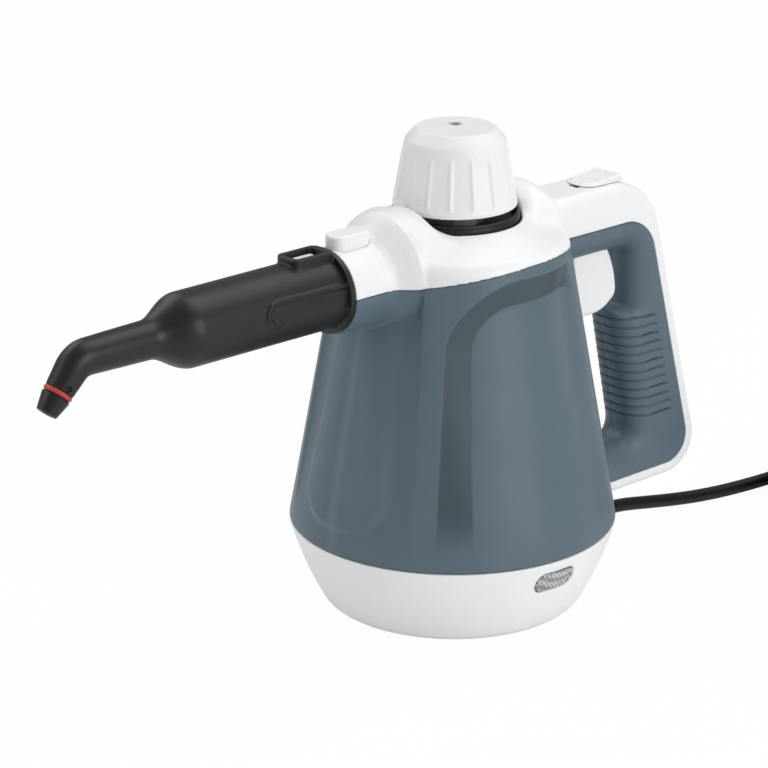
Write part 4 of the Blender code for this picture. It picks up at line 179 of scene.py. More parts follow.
def moulded_material(name, colour, roughness, grain, grain_scale=900.0, parting_highlight=False, band=0.0, vent_shade_radius=0.0,
                     metallic=0.0, spread=0.03, specular=0.5):
    """Moulded plastic, rubber or metal: mottled colour, fine grain and uneven gloss, with optional painted light: a
    painted highlight along the parting line, painted shade in the vent's well and painted shade on the arch band.
    """
    made, tree, shader = new_material(name)
    place = add_node(tree, "ShaderNodeTexCoord").outputs["Object"]
    broad = noise(tree, place, 38.0, 3.0)
    fine = noise(tree, place, grain_scale, 2.0)
    low = tuple(c * (1 - spread) for c in colour)
    high = tuple(min(c * (1 + spread), 1) for c in colour)
    tint = ramp_between(tree, broad, low, high)
    # Painted highlight: the colour is made lighter in a thin line along the parting line at y = 0.
    if parting_highlight:
        split = add_node(tree, "ShaderNodeSeparateXYZ")
        tree.links.new(place, split.inputs["Vector"])
        away = worked(tree, "ABSOLUTE", split.outputs["Y"])
        line = ramp_between(tree, away, 1.25, 1.0, (0.00008, 0.00022))
        tint = multiplied(tree, tint, line)
    # Painted shade: a near-black disc round the vent darkens the vent's well.
    if vent_shade_radius:
        middle = add_node(tree, "ShaderNodeVectorMath", operation="DISTANCE")
        flattened = add_node(tree, "ShaderNodeVectorMath", operation="MULTIPLY")
        flattened.inputs[1].default_value = (1, 1, 0)
        tree.links.new(place, flattened.inputs[0])
        tree.links.new(flattened.outputs["Vector"], middle.inputs[0])
        middle.inputs[1].default_value = ((TANK_X + VENT[0]) * MM, VENT[1] * MM, 0)
        vent_well_painted_shade = ramp_between(tree, middle.outputs["Value"], 0.02, 1.0, (vent_shade_radius, vent_shade_radius * 1.08))
        tint = multiplied(tree, tint, vent_well_painted_shade)
    # Painted shade: the colour is darkened on the sloping band round the arches.
    if band:
        painted_arch_shade = ramp_between(tree, arch_shade_band(tree, place), 1.0, 1.0 - band, (0.0, 1.0))
        tint = multiplied(tree, tint, painted_arch_shade)
    tree.links.new(tint, shader.inputs["Base Color"])
    gloss = ramp_between(tree, broad, max(roughness - 0.05, 0), roughness + 0.05)
    tree.links.new(gloss, shader.inputs["Roughness"])
    shader.inputs["Metallic"].default_value = metallic
    shader.inputs["Specular IOR Level"].default_value = specular
    give_relief(tree, shader, fine, grain, 0.0004)
    return made


def brushed_material(name, colour, roughness):
    """Metal with fine drawn lines."""
    made, tree, shader = new_material(name)
    place = add_node(tree, "ShaderNodeTexCoord").outputs["Object"]
    scaled = add_node(tree, "ShaderNodeMapping")
    scaled.inputs["Scale"].default_value = (60.0, 60.0, 1400.0)
    tree.links.new(place, scaled.inputs["Vector"])
    lines = noise(tree, scaled.outputs["Vector"], 1.0, 4.0)
    low = tuple(c * 0.9 for c in colour)
    high = tuple(min(c * 1.08, 1) for c in colour)
    tree.links.new(ramp_between(tree, lines, low, high), shader.inputs["Base Color"])
    gloss = ramp_between(tree, lines, roughness - 0.08, roughness + 0.1)
    tree.links.new(gloss, shader.inputs["Roughness"])
    shader.inputs["Metallic"].default_value = 1.0
    give_relief(tree, shader, lines, 0.06, 0.0003)
    return made


SHELL_BLUE = (0.100, 0.143, 0.174)
# The blue, with a painted highlight along the parting line.
BLUE = moulded_material("blue_shell", SHELL_BLUE, 0.40, 0.06, parting_highlight=True, specular=0.3)
# The same blue, with painted shade on the sloping band round the arches.
BLUE_ARCH_PAINTED_SHADE = moulded_material("blue_shell_painted_arch_shade", SHELL_BLUE, 0.40, 0.06, parting_highlight=True, band=0.46, specular=0.3)
WHITE = moulded_material("white_shell", (0.85, 0.85, 0.855), 0.36, 0.03, spread=0.006)
# The cap's white, with painted shade in the vent's well.
WHITE_GLOSS = moulded_material("white_gloss", (0.83, 0.83, 0.835), 0.32, 0.03, vent_shade_radius=0.0023, spread=0.006, specular=0.35)
BLACK = moulded_material("black_shell", (0.009, 0.009, 0.0093), 0.42, 0.10, spread=0.10, specular=0.40)
RUBBER = moulded_material("black_rubber", (0.007, 0.007, 0.008), 0.55, 0.20, 700.0, spread=0.15, specular=0.3)
CORD_SKIN = moulded_material("cord_skin", (0.005, 0.005, 0.006), 0.40, 0.08, 500.0, spread=0.15, specular=0.3)
RED = moulded_material("red_silicone", (0.46, 0.052, 0.034), 0.42, 0.08, spread=0.06)
CAST = moulded_material("cast_aluminium", (0.62, 0.63, 0.65), 0.46, 0.35, 420.0, metallic=1.0, spread=0.08)
STEEL = brushed_material("drawn_steel", (0.55, 0.56, 0.58), 0.30)
BRASS = brushed_material("turned_brass", (0.62, 0.47, 0.22), 0.30)
CERAMIC = moulded_material("glazed_ceramic", (0.72, 0.69, 0.62), 0.35, 0.10, spread=0.04)


def lens_material():
    """Clear moulded plastic over a dark well with small cushions; the colour is painted lighter at each cushion's
    middle as a highlight and darker towards its edges.
    """
    made, tree, shader = new_material("lens_plastic")
    place = add_node(tree, "ShaderNodeTexCoord").outputs["Object"]
    turned = add_node(tree, "ShaderNodeMapping")
    turned.inputs["Rotation"].default_value = (0, math.radians(38), 0)
    tree.links.new(place, turned.inputs["Vector"])
    cells = add_node(tree, "ShaderNodeTexVoronoi", feature="F1")
    cells.inputs["Scale"].default_value = 620.0
    cells.inputs["Randomness"].default_value = 0.25
    tree.links.new(turned.outputs["Vector"], cells.inputs["Vector"])
    # Painted highlights: the colour is lighter at the cushions' middles and darker towards their edges.
    painted_cushion_light = ramp_between(tree, cells.outputs["Distance"], (0.60, 0.61, 0.62), (0.16, 0.165, 0.17), (0.25, 0.62))
    tree.links.new(painted_cushion_light, shader.inputs["Base Color"])
    tree.links.new(ramp_between(tree, cells.outputs["Distance"], 0.08, 0.22), shader.inputs["Roughness"])
    shader.inputs["Coat Weight"].default_value = 0.6
    give_relief(tree, shader, cells.outputs["Distance"], 0.5, 0.0006, invert=True)
    return made


LENS = lens_material()

CARRIED_OVER = {
    RUBBER: ["foot_1", "foot_2", "foot_3", "foot_4"],
    STEEL: ["base_screw_1", "base_screw_2", "base_screw_3", "boiler_bolt_1", "boiler_bolt_2", "boiler_bolt_3",
            "boiler_bolt_4", "heating_element", "trigger_spring", "button_spring", "trigger_pin",
            "valve_rod", "steam_pipe"],
    BRASS: ["steam_valve", "relief_valve", "plug_pin_1", "plug_pin_2"],
    CAST: ["boiler_lower", "boiler_upper"],
    CERAMIC: ["thermostat", "thermal_fuse", "terminal_block"],
    RED: ["boiler_gasket", "cap_seal", "spigot_seal"],
    BLACK: ["cap_insert", "outlet_spigot"],
    WHITE: ["lamp_holder"],
}
for look, names in CARRIED_OVER.items():
    for name in names:
        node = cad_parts[name]
        node.data.materials.clear()
        node.data.materials.append(look)


# Cord, coil and plug
CORD_RADIUS = 3.2
CORD_ROUTE = (
    (100.3, 0.0, 13.5), (107.0, 0.0, 13.3), (116.0, 0.0, 12.2), (129.0, -0.4, 9.8), (145.0, -1.4, 7.0),
    (161.0, -3.0, 4.9), (177.0, -5.1, 3.7), (193.0, -7.4, 3.4), (208.0, -9.6, 3.6), (220.0, -11.2, 4.2),
    (230.0, -12.7, 5.0), (236.6, -12.8, 5.0),
)
CORD_TAIL = (
    (237.4, -12.8, 25.7), (244.5, -12.8, 25.7), (255.0, -13.8, 25.4), (267.0, -16.8, 24.6), (278.0, -22.0, 23.0),
    (288.0, -29.5, 21.2), (296.0, -39.0, 19.7), (302.0, -50.0, 18.8), (306.0, -61.5, 18.5), (307.5, -68.0, 18.5),
)
COIL_CENTRE = (237.0, -60.0)
COIL_LAYERS = 4
COIL_TURNS_PER_LAYER = 3
COIL_INNER_RADIUS = 26.5
COIL_PITCH = 6.9
COIL_LIFT = 1.8
COIL_POINTS_PER_TURN = 40


def smooth_route(points, spacing):
    """A smooth line through the points, with a place every so many millimetres."""
    places = np.array(points, float)
    slopes = np.gradient(places, axis=0)
    found = []
    for i in range(len(places) - 1):
        parts = max(1, round(np.linalg.norm(places[i + 1] - places[i]) / spacing))
        for t in np.arange(parts) / parts:
            found.append(
                (2 * t**3 - 3 * t**2 + 1) * places[i]
                + (t**3 - 2 * t**2 + t) * slopes[i]
                + (3 * t**2 - 2 * t**3) * places[i + 1]
                + (t**3 - t**2) * slopes[i + 1]
            )
    return [*found, places[-1]]


def coil_points():
    """The wound cord's centre line, from the outer end of its lowest layer to its highest."""
    low = CORD_RADIUS + COIL_LIFT
    points = []
    for i in range(COIL_LAYERS * COIL_TURNS_PER_LAYER * COIL_POINTS_PER_TURN + 1):
        t = i / COIL_POINTS_PER_TURN
        along = t % (2 * COIL_TURNS_PER_LAYER)
        radius = COIL_INNER_RADIUS + COIL_PITCH * abs(along - COIL_TURNS_PER_LAYER)
        layer = sum(min(max(2 * (t - k * COIL_TURNS_PER_LAYER) + 0.5, 0), 1) for k in range(1, COIL_LAYERS))
        angle = 2 * math.pi * t
        points.append(np.array((
            COIL_CENTRE[0] + radius * math.sin(angle),
            COIL_CENTRE[1] + radius * math.cos(angle),
            low + COIL_PITCH * layer,
        )))
    return points


def tube(name, points, radius, resolution, material):
    curve = bpy.data.curves.new(name, "CURVE")
    curve.dimensions = "3D"
    curve.bevel_depth = radius * MM
    curve.bevel_resolution = resolution
    curve.use_fill_caps = True
    curve.twist_mode = "MINIMUM"
    spline = curve.splines.new("POLY")
    spline.points.add(len(points) - 1)
    for target, point in zip(spline.points, points):
        target.co = (*placed(point), 1)
    spline.use_smooth = True
    curve.materials.append(material)
    made = bpy.data.objects.new(name, curve)
    bpy.context.scene.collection.objects.link(made)
    return made


cord_line = [*smooth_route(CORD_ROUTE, 6.0)[:-1], *coil_points(), *smooth_route(CORD_TAIL, 6.0)[1:]]
lead = tube("mains_lead", cord_line, CORD_RADIUS, 6, CORD_SKIN)
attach(lead, "housing")
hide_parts("mains_cord", "cord_coil", "cord_tail")


# Shapes given as fields: negative inside, in millimetres
def rmax(a, b, radius):
    """Both at once, with the edge between them turned on a radius."""
    if radius <= 0:
        return np.maximum(a, b)
    return np.minimum(np.maximum(a, b), -radius) + np.hypot(np.maximum(a + radius, 0), np.maximum(b + radius, 0))


def rmin(a, b, radius):
    """Either one, with the corner between them filled on a radius."""
    return -rmax(-a, -b, radius)


def plane(x, z, at, towards):
    """Distance past the line through a point, with its outward direction."""
    size = math.hypot(*towards)
    return ((x - at[0]) * towards[0] + (z - at[1]) * towards[1]) / size


def through(x, z, first, second):
    """Distance to the right of the line from one point to another."""
    return plane(x, z, first, (second[1] - first[1], first[0] - second[0]))


def ease(share):
    """A share from 0 to 1 that starts and ends softly."""
    share = np.clip(share, 0, 1)
    return share * share * (3 - 2 * share)


def box_field(x, y, z, low, high, radius=0.0):
    sides = [np.maximum(low[i] - v, v - high[i]) for i, v in enumerate((x, y, z))]
    return rmax(rmax(sides[0], sides[1], radius), sides[2], radius)


def cells_of(field, low, high, step):
    """The field's values on a grid, worked out only near the surface."""
    block = 6
    counts = (np.ceil((np.array(high) - low) / step / block).astype(int) + 1) * block
    axes = [low[i] + step * np.arange(counts[i]) for i in range(3)]
    middles = [axis.reshape(-1, block).mean(1) for axis in axes]
    coarse = field(*(g.ravel() for g in np.meshgrid(*middles, indexing="ij")))
    near = np.abs(coarse) < block * step * 1.25 + step
    shape = [len(m) for m in middles]
    values = np.repeat(np.repeat(np.repeat(coarse.reshape(shape), block, 0), block, 1), block, 2).astype(np.float32)
    blocks = np.stack(np.unravel_index(np.flatnonzero(near), shape), 1) * block
    inner = np.stack(np.meshgrid(*[np.arange(block)] * 3, indexing="ij"), -1).reshape(-1, 3)
    for part in np.array_split(blocks, max(1, len(blocks) // 6000)):
        spots = (part[:, None, :] + inner).reshape(-1, 3)
        values[tuple(spots.T)] = field(*(axes[i][spots[:, i]] for i in range(3)))
    return values


def slopes_of(field, points, reach):
    found = []
    for i in range(3):
        ahead, behind = points.copy(), points.copy()
        ahead[:, i] += reach
        behind[:, i] -= reach
        found.append((field(*ahead.T) - field(*behind.T)) / (2 * reach))
    return np.stack(found, 1)


def settle(field, points, step, rounds=2):
    """Moves points onto the field's surface."""
    for _ in range(rounds):
        slope = slopes_of(field, points, step / 10)
        size = np.maximum((slope**2).sum(1), 0.05)
        shift = np.clip(field(*points.T) / size, -step, step)
        points = points - slope * shift[:, None]
    return points


def net_of(field, low, high, step):
    """A net of quads over the field's surface: one vertex for each cell it crosses."""
    values = cells_of(field, low, high, step)
    inside = values < 0
    corners = [(i, j, k) for i in (0, 1) for j in (0, 1) for k in (0, 1)]
    n = [size - 1 for size in values.shape]
    total = sum(inside[i:i + n[0], j:j + n[1], k:k + n[2]].astype(np.int8) for i, j, k in corners)
    crossed = np.argwhere((total > 0) & (total < 8))
    held = {c: values[tuple((crossed + c).T)] for c in corners}
    spot, count = np.zeros((len(crossed), 3)), np.zeros(len(crossed))
    for a in corners:
        for i in range(3):
            if a[i]:
                continue
            b = tuple(v + (k == i) for k, v in enumerate(a))
            change = (held[a] < 0) != (held[b] < 0)
            share = held[a] / np.where(change, held[a] - held[b], 1)
            for k in range(3):
                spot[:, k] += np.where(change, a[k] + (share if k == i else 0), 0)
            count += change
    points = np.array(low) + step * (crossed + spot / count[:, None])
    number = np.full(n, -1, np.int32)
    number[tuple(crossed.T)] = np.arange(len(crossed))
    quads = []
    for i, (j, k) in enumerate(((1, 2), (2, 0), (0, 1))):
        first = [slice(None)] * 3
        second = [slice(None)] * 3
        first[i], second[i] = slice(0, -1), slice(1, None)
        change = inside[tuple(first)] != inside[tuple(second)]
        edges = np.argwhere(change)
        edges = edges[(edges[:, j] > 0) & (edges[:, k] > 0) & (edges[:, j] < n[j]) & (edges[:, k] < n[k])]
        leaving = inside[tuple(edges.T)]
        ring = []
        for dj, dk in ((0, 0), (-1, 0), (-1, -1), (0, -1)):
            cell = edges.copy()
            cell[:, j] += dj
            cell[:, k] += dk
            ring.append(number[tuple(cell.T)])
        ring = np.stack(ring, 1)
        ring[~leaving] = ring[~leaving][:, ::-1]
        quads.append(ring)
    return settle(field, points, step), np.concatenate(quads)


def moulded(name, field, low, high, step, material, body, replaced=(), keep=0.5):
    """A piece meshed from a field, thinned where it is flat and shaded by the field's own slope."""
    points, quads = net_of(field, np.array(low, float), np.array(high, float), step)
    mesh = bpy.data.meshes.new(name)
    mesh.from_pydata(points.tolist(), [], quads.tolist())
    made = bpy.data.objects.new(name, mesh)
    bpy.context.scene.collection.objects.link(made)
    if keep < 1:
        thin = made.modifiers.new("thin", "DECIMATE")
        thin.ratio = keep
        graph = bpy.context.evaluated_depsgraph_get()
        mesh = bpy.data.meshes.new_from_object(made.evaluated_get(graph))
        made.modifiers.clear()
        made.data = mesh
    flat = np.empty(len(mesh.vertices) * 3)
    mesh.vertices.foreach_get("co", flat)
    points = settle(field, flat.reshape(-1, 3), step / 2, 1)
    slope = slopes_of(field, points, step * 0.3)
    slope /= np.maximum(np.linalg.norm(slope, axis=1, keepdims=True), 1e-9)
    points = (points + (TANK_X, 0, 0)) * MM
    mesh.vertices.foreach_set("co", points.ravel())
    mesh.update()
    mesh.shade_smooth()
    mesh.normals_split_custom_set_from_vertices(slope.tolist())
    mesh.materials.clear()
    mesh.materials.append(material)
    mesh.name = name
    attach(made, body)
    if replaced:
        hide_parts(*replaced)
    return made


# Housing
SEAM_Z = 40.8
AXIS_Z = 162.5
COLLAR_X = -75.0
CREASE = math.radians(32.5)
COLLAR_RADIUS = 18.0
BORE_RADIUS = 15.5
BOWL_HEIGHTS = (1.5, 3.2, 9.4, 15.5, 21.6, 27.7, 33.8, 40.8)
BOWL_RADII = (58.3, 59.4, 62.9, 65.7, 68.2, 70.7, 73.2, 74.9)
BOWL = np.polyfit(BOWL_HEIGHTS, BOWL_RADII, 3)


def cone_radius(z):
    return 74.8 - 25.6 * (z - SEAM_Z) / 141.2


def bowl_radius(z):
    return np.polyval(BOWL, z)


def split_z(x):
    """Height of the line between housing and cover, seen from the side."""
    across = np.minimum(np.abs(x - 8.0), 200.0)
    arc = 170.6 - 206.0 + np.sqrt(206.0**2 - across**2)
    return np.where(x < 8.0, np.maximum(arc, AXIS_Z + 0.7), arc)


def arch_distance(x, z):
    """Distance outside the arch on the housing's side."""
    left = plane(x, z, (-54.8, 56.0), (-0.9886, 0.1506))
    right = plane(x, z, (66.0, 56.0), (0.9886, 0.1506))
    return rmax(rmax(left, right, 5.0), z - 166.3, 30.0)


def front_hump(x, y, z):
    """The round form behind the collar, which narrows to it."""
    places = (-64, -58, -55, -52, -49, -46.5, -44.5, -43)
    radius = np.interp(x, places, (18.0, 18.2, 19.0, 20.8, 23.6, 26.4, 28.2, 28.5))
    return np.maximum(np.hypot(y, z - AXIS_Z - 1.0) - radius, x + 30) * 0.7


def skin(x, y, z):
    """The cone with its arches, the scooped front between two creases and the low pad, without the collar."""
    r = np.hypot(x, y)
    wall = np.clip(-arch_distance(x, z) / 12.0, 0, 1)
    depth = np.interp(z, (50, 60, 85, 120, 166), (0.0, 0.6, 2.6, 4.6, 5.4)) * wall * (1 - ease((x - 20.0) / 20.0))
    within = (CREASE - np.arctan2(np.abs(y), -x)) * r
    scoop = 2.1 * (1 - (1 - np.clip(within / 9.0, 0, 1)) ** 2) * (1 - 0.75 * ease((within - 8.0) / 26.0))
    scoop = scoop * np.interp(z, (46, 58, 90), (0.0, 0.6, 1.0))
    ridge = np.interp(within, (-12.0, 0.0, 3.0), (0.0, 0.9, 0.0)) * np.interp(z, (46, 70, 166), (0.0, 0.5, 1.0))
    bib = rmax(np.abs(y) - np.interp(z, (50, 64, 160), (28.6, 28.3, 18.0)), 50.0 - z, 22.0)
    pad = np.interp(z, (56, 100, 150), (2.2, 1.3, 0.0)) * ease(-bib / 5.5) * (x < 0)
    return (r - cone_radius(z) + depth + scoop - ridge - pad) * 0.97


def collar(x, y, z):
    """The round barrel in front, from its mouth to inside the cone."""
    return np.maximum(np.maximum(np.hypot(y, z - AXIS_Z) - COLLAR_RADIUS, COLLAR_X - x), x + 20)


def collar_bore(x, y, z):
    return np.maximum(np.hypot(y, z - AXIS_Z) - BORE_RADIUS, x)


def outside_form(x, y, z):
    """The housing's outer form with the collar and the hump behind it."""
    return rmin(rmin(skin(x, y, z), front_hump(x, y, z), 1.0), collar(x, y, z), 3.0)


def inside_form(x, y, z):
    """The hollow inside housing and cover."""
    body = (np.hypot(x, y) - cone_radius(z) + 7.6) * 0.984
    return np.minimum(body, collar_bore(x, y, z))


def housing_field(x, y, z):
    outer = outside_form(x, y, z)
    outer = rmax(outer, z - split_z(x) + SEAM_GAP, 0.2)
    outer = rmax(outer, SEAM_Z + GAP - z, 0.5)
    outer = rmax(outer, COLLAR_X + 0.1 - x, 0.4)
    tongue = np.maximum((np.hypot(x, y) - cone_radius(z) + 3.2) * 0.98, np.abs(z - split_z(x)) - 1.4)
    outer = np.minimum(outer, np.maximum(tongue, -36.0 - x))
    return np.maximum(outer, -inside_form(x, y, z))


moulded("housing_shells", housing_field, (-78, -78, 38), (78, 78, 176), 0.9, BLUE_ARCH_PAINTED_SHADE, "housing",
        ("left_shell", "right_shell"), 0.35)


# Handle: grip and spine
HALF_WIDTH = 14.0
EDGE = 5.0
GRIP_EDGE = 11.0
HANDLE_TOP_Z = 181.0
HANDLE_FOOT_Z = 27.8
BLUE_MARGIN = 6.8
STEP_Z = 117.5
GROOVE_PITCH = 4.6
GROOVE_FIRST_Z = 62.3
LAST_GROOVE = 11


def handle_rear(x, z):
    """Distance past the handle's rear face, seen from the side."""
    return through(x, z, (155.2, HANDLE_FOOT_Z), (114.0, HANDLE_TOP_Z))


def handle_outline(x, z):
    return rmax(rmax(z - HANDLE_TOP_Z, handle_rear(x, z), 22.0), HANDLE_FOOT_Z - z, 23.0)


def grip_outline(x, z):
    """Blue inside, white outside."""
    return rmax(rmax(z - 162.0, handle_rear(x, z) + BLUE_MARGIN, 14.5), 34.5 - z, 16.5)


def window(x, z):
    palm = through(x, z, (110.0, 50.0), (96.0, 117.0))
    main = rmax(rmax(palm, 50.0 - z, 9.0), z - 148.0, 4.0)
    recess = rmax(rmax(x - 104.5, z - 148.0, 4.0), STEP_Z - z, 2.0)
    return rmin(main, recess, 2.0)


def handle_form(x, y, z):
    solid = rmax(handle_outline(x, z), np.abs(y) - HALF_WIDTH, EDGE)
    return rmax(solid, -window(x, z), GRIP_EDGE)


def handle_hollow(x, y, z):
    return np.maximum(handle_form(x, y, z) + 2.4, np.where(z > 99.0, 24.6, 82.0) - x)


def trigger_hole(x, y, z):
    return box_field(x, y, z, (66.6, -7.4, 143.0), (98.3, 7.4, 151.0))


def grip_field(x, y, z):
    form = handle_form(x, y, z)
    rear = handle_rear(x, z) + BLUE_MARGIN + 6.0
    level = z + 0.6 * ease((rear + 3.0) / 3.0) - GROOVE_FIRST_Z
    lines = np.abs(level - GROOVE_PITCH * np.round(np.clip(level / GROOVE_PITCH, 0, LAST_GROOVE)))
    form = form + np.clip(1.25 - lines / 0.6, 0, 1) * np.clip(-rear, 0, 1)
    form = form - 0.25 * np.clip(1.0 - np.abs(y) / 0.6, 0, 1)
    form = rmax(form, grip_outline(x, z) + GAP, 0.4)
    form = np.maximum(form, -handle_hollow(x, y, z))
    form = np.maximum(form, -trigger_hole(x, y, z))
    return np.maximum(form, (cone_radius(z) - 1.0 - np.hypot(x, y)) * 0.98)


moulded("housing_grip", grip_field, (40, -16, 30), (156, 16, 166), 0.6, BLUE, "housing", (), 0.5)


def cover_profile(r, z):
    """The cover's side and shoulder, turned about the axis."""
    side = (r - cone_radius(z)) * 0.984
    return rmax(side, (z - 193.5) + np.maximum(r - 30, 0) * 0.04, 13.0)


def spine_field(x, y, z):
    form = handle_form(x, y, z)
    form = rmax(form, GAP - grip_outline(x, z), 0.4)
    form = np.maximum(form, -handle_hollow(x, y, z))
    slot = box_field(x, y, z, (74.6, -2.9, 170.0), (90.4, 2.9, 190.0))
    form = np.maximum(form, -slot)
    form = np.maximum(form, 0.3 - cover_profile(np.hypot(x, y), z))
    below = (bowl_radius(np.clip(z, BOWL_HEIGHTS[0], SEAM_Z)) + 0.3 - np.hypot(x, y)) * 0.9
    beside = (cone_radius(z) + 0.3 - np.hypot(x, y)) * 0.98
    return np.maximum(form, np.where(z < 60, np.maximum(below, beside), -9.0))


moulded("handle_band", spine_field, (30, -16, 25), (157, 16, 184), 0.7, WHITE, "housing",
        ("handle_spine",), 0.5)


# Top cover
BUTTON_X = -63.7


def hump(x, y, z, side):
    """The ridge in front of the cap or behind it."""
    reach = side * x
    bar = np.hypot(y, z - 165.0) - 28.5
    slope = (22.0 - reach + np.maximum(z - 180.0, 0)) * 0.75
    return rmax(bar, slope, 4.0)


def cover_field(x, y, z):
    r = np.hypot(x, y)
    form = cover_profile(r, z)
    floor = z - (181.6 - 0.45 * (r - 31.0))
    ridges = np.minimum(hump(x, y, z, -1), hump(x, y, z, 1))
    form = rmax(form, rmin(floor * 0.91, ridges, 3.0), 3.0)
    form = rmin(form, front_hump(x, y, z), 1.0)
    form = rmin(form, collar(x, y, z), 3.0)
    form = rmax(form, split_z(x) + SEAM_GAP - z, 0.2)
    form = rmax(form, COLLAR_X + 0.1 - x, 0.4)
    throat = np.maximum(r - 29.7, 178.1 - z)
    throat = np.minimum(throat, r - 28.6)
    top = np.maximum(175.6 - 0.45 * np.maximum(r - 31.0, 0), split_z(x) + 1.8)
    cavity = np.maximum((r - cone_radius(z) + 2.8) * 0.984, (z - top) * 0.91)
    slot = np.maximum(rmax(np.abs(x - BUTTON_X) - 10.5, np.abs(y) - 6.0, 5.8), 165.0 - z)
    form = rmax(form, -throat, 1.3)
    hollow = np.minimum(cavity, np.minimum(collar_bore(x, y, z), slot))
    rod_way = box_field(x, y, z, (0, -4.0, 150.0), (55.0, 4.0, 171.0))
    return rmax(form, -np.minimum(hollow, rod_way), 0.4)


moulded("top_shell", cover_field, (-77, -54, 158), (54, 54, 197), 0.75, WHITE, "housing",
        ("top_cover",), 0.5)


# Base bowl
def lens_outline(x, z, grow):
    """Distance outside the lamp window's pill, seen from the side."""
    return np.hypot(np.maximum(np.abs(x + 4.5) - 6.15, 0), z - 30.5) - 4.6 - grow


def round_places(radius, angles):
    """Places on a circle round the tank's axis."""
    return [(radius * math.cos(math.radians(a)), radius * math.sin(math.radians(a))) for a in angles]


POSTS = round_places(35.0, (60, 180, 300))
FEET = round_places(44.0, (45, 135, 225, 315))
GLAND_Z = CORD_ROUTE[0][2]


def base_field(x, y, z):
    r = np.hypot(x, y)
    form = rmax((r - bowl_radius(z)) * 0.92, 1.5 - z, 3.5)
    form = rmax(form, z - SEAM_Z + GAP, 0.5)
    hollow = np.maximum((r - bowl_radius(z) + 2.6) * 0.92, 4.1 - z)
    posts = 1e3
    for px, py in POSTS:
        posts = np.minimum(posts, np.maximum(np.hypot(x - px, y - py) - 5.8, z - 38.0))
    form = np.maximum(form, -np.maximum(hollow, -posts))
    for px, py in FEET:
        form = np.maximum(form, -np.maximum(np.hypot(x - px, y - py) - 6.3, z - 2.8))
    for px, py in POSTS:
        form = np.maximum(form, -np.maximum(np.hypot(x - px, y - py) - 4.1, z - 8.4))
    pill = np.maximum(lens_outline(x, z, 0.35), y)
    form = rmax(form, -pill, 0.5)
    gland = np.maximum(np.hypot(y, z - GLAND_Z) - 5.4, -x)
    return rmax(form, -gland, 0.5)


moulded("base_bowl", base_field, (-77, -77, 0), (77, 77, 43), 0.9, WHITE, "housing",
        ("base_shell",), 0.4)


def lens_field(x, y, z):
    r = np.hypot(x, y)
    face = (r - bowl_radius(z) - 0.1) * 0.92
    u, v = (x * 0.79 + z * 0.62) / 1.75, (x * 0.62 - z * 0.79) / 1.75
    cushion = np.abs(u - np.round(u)) + np.abs(v - np.round(v))
    inner = np.clip(-lens_outline(x, z, -0.9) / 0.4, 0, 1)
    form = np.maximum(face + cushion * 0.45 * inner, (bowl_radius(z) - 2.2 - r) * 0.92)
    return np.maximum(rmax(form, lens_outline(x, z, 0.0), 0.4), y)


moulded("lamp_window", lens_field, (-16, -78, 24), (8, -60, 37), 0.28, LENS, "housing",
        ("indicator_lens",), 0.6)


# Neck ring and cap
def ring_field(x, y, z):
    r = np.hypot(x, y)
    groove = 0.35 * np.clip(1.0 - np.abs(z - 183.6) / 0.5, 0, 1)
    form = rmax(rmax(r - 28.9 + groove, z - 185.2, 0.9), 178.4 - z, 0.2)
    step = np.maximum(r - 27.2, 181.4 - z)
    return np.maximum(rmax(form, -step, 0.6), 14.3 - r)


moulded("neck_ring", ring_field, (-32, -32, 177), (32, 32, 190), 0.6, BLACK, "housing",
        ("filler_collar",), 0.6)


FLUTE_ANGLE = 2 * math.pi / 16
CAP_TOP_Z = 222.7
CAP_RIM_Z = 188.0


def cap_field(x, y, z):
    r = np.hypot(x, y)
    turn = np.arctan2(y, x) / FLUTE_ANGLE + 0.12
    away = np.abs(turn - np.round(turn)) * FLUTE_ANGLE * r
    rib = np.clip(1.0 - away / 1.5, 0, 1)
    scallop = 1.0 - np.clip(away / 4.6, 0, 1)
    run = ease((z - 190.5) / 2.0) * ease((216.0 - z) / 7.0)
    wall = 27.2 + (22.3 - 27.2) * (z - 190.9) / (218.0 - 190.9)
    wall = wall - run * (0.75 - 0.45 * scallop**2 - 0.55 * rib * rib * (3 - 2 * rib))
    side = (r - wall) * 0.98
    crown = through(r, z, (22.1, 218.0), (17.6, CAP_TOP_Z))
    form = rmax(rmax(side, crown, 0.5), z - CAP_TOP_Z, 0.45)
    lip = rmax(rmax(r - 27.6, z - 190.2, 0.5), CAP_RIM_Z - z, 0.4)
    form = rmin(rmax(form, CAP_RIM_Z - z, 0.4), lip, 0.25)
    hollow = rmax((r - wall + 2.4) * 0.98, z - 219.9, 2.0)
    form = np.maximum(form, -hollow)
    guide = np.maximum(np.maximum(r - 11.5, 9.9 - r), np.maximum(211.5 - z, z - 220.5))
    from_vent = np.hypot(x - VENT[0], y - VENT[1])
    chimney = np.maximum(from_vent - 3.6, np.maximum(214.5 - z, z - 221.0))
    form = np.minimum(form, np.minimum(guide, chimney))
    return rmax(form, -np.maximum(from_vent - 2.2, 215.6 - z), 0.15)


moulded("safety_cap", cap_field, (-29, -29, 186.9), (29, 29, 224), 0.5, WHITE_GLOSS, "cap_knob",
        ("cap_shell",), 0.5)


# Nozzle
NOZZLE_LIFT = 1.2
ELBOW_X = -208.7
ELBOW = math.radians(50.0)
BEND = 11.0
REACH = BEND * math.tan(ELBOW / 2)
ARC_START = -(ELBOW_X + REACH)
RING_AT = ARC_START + BEND * ELBOW + (15.9 - REACH)
RIB_LINE = (
    (79.5, 6.5), (115.8, 6.9), (119.2, 6.0), (121.2, 4.0), (121.9, 1.8), (121.2, -0.6), (118.8, -2.1), (115.5, -2.4),
)


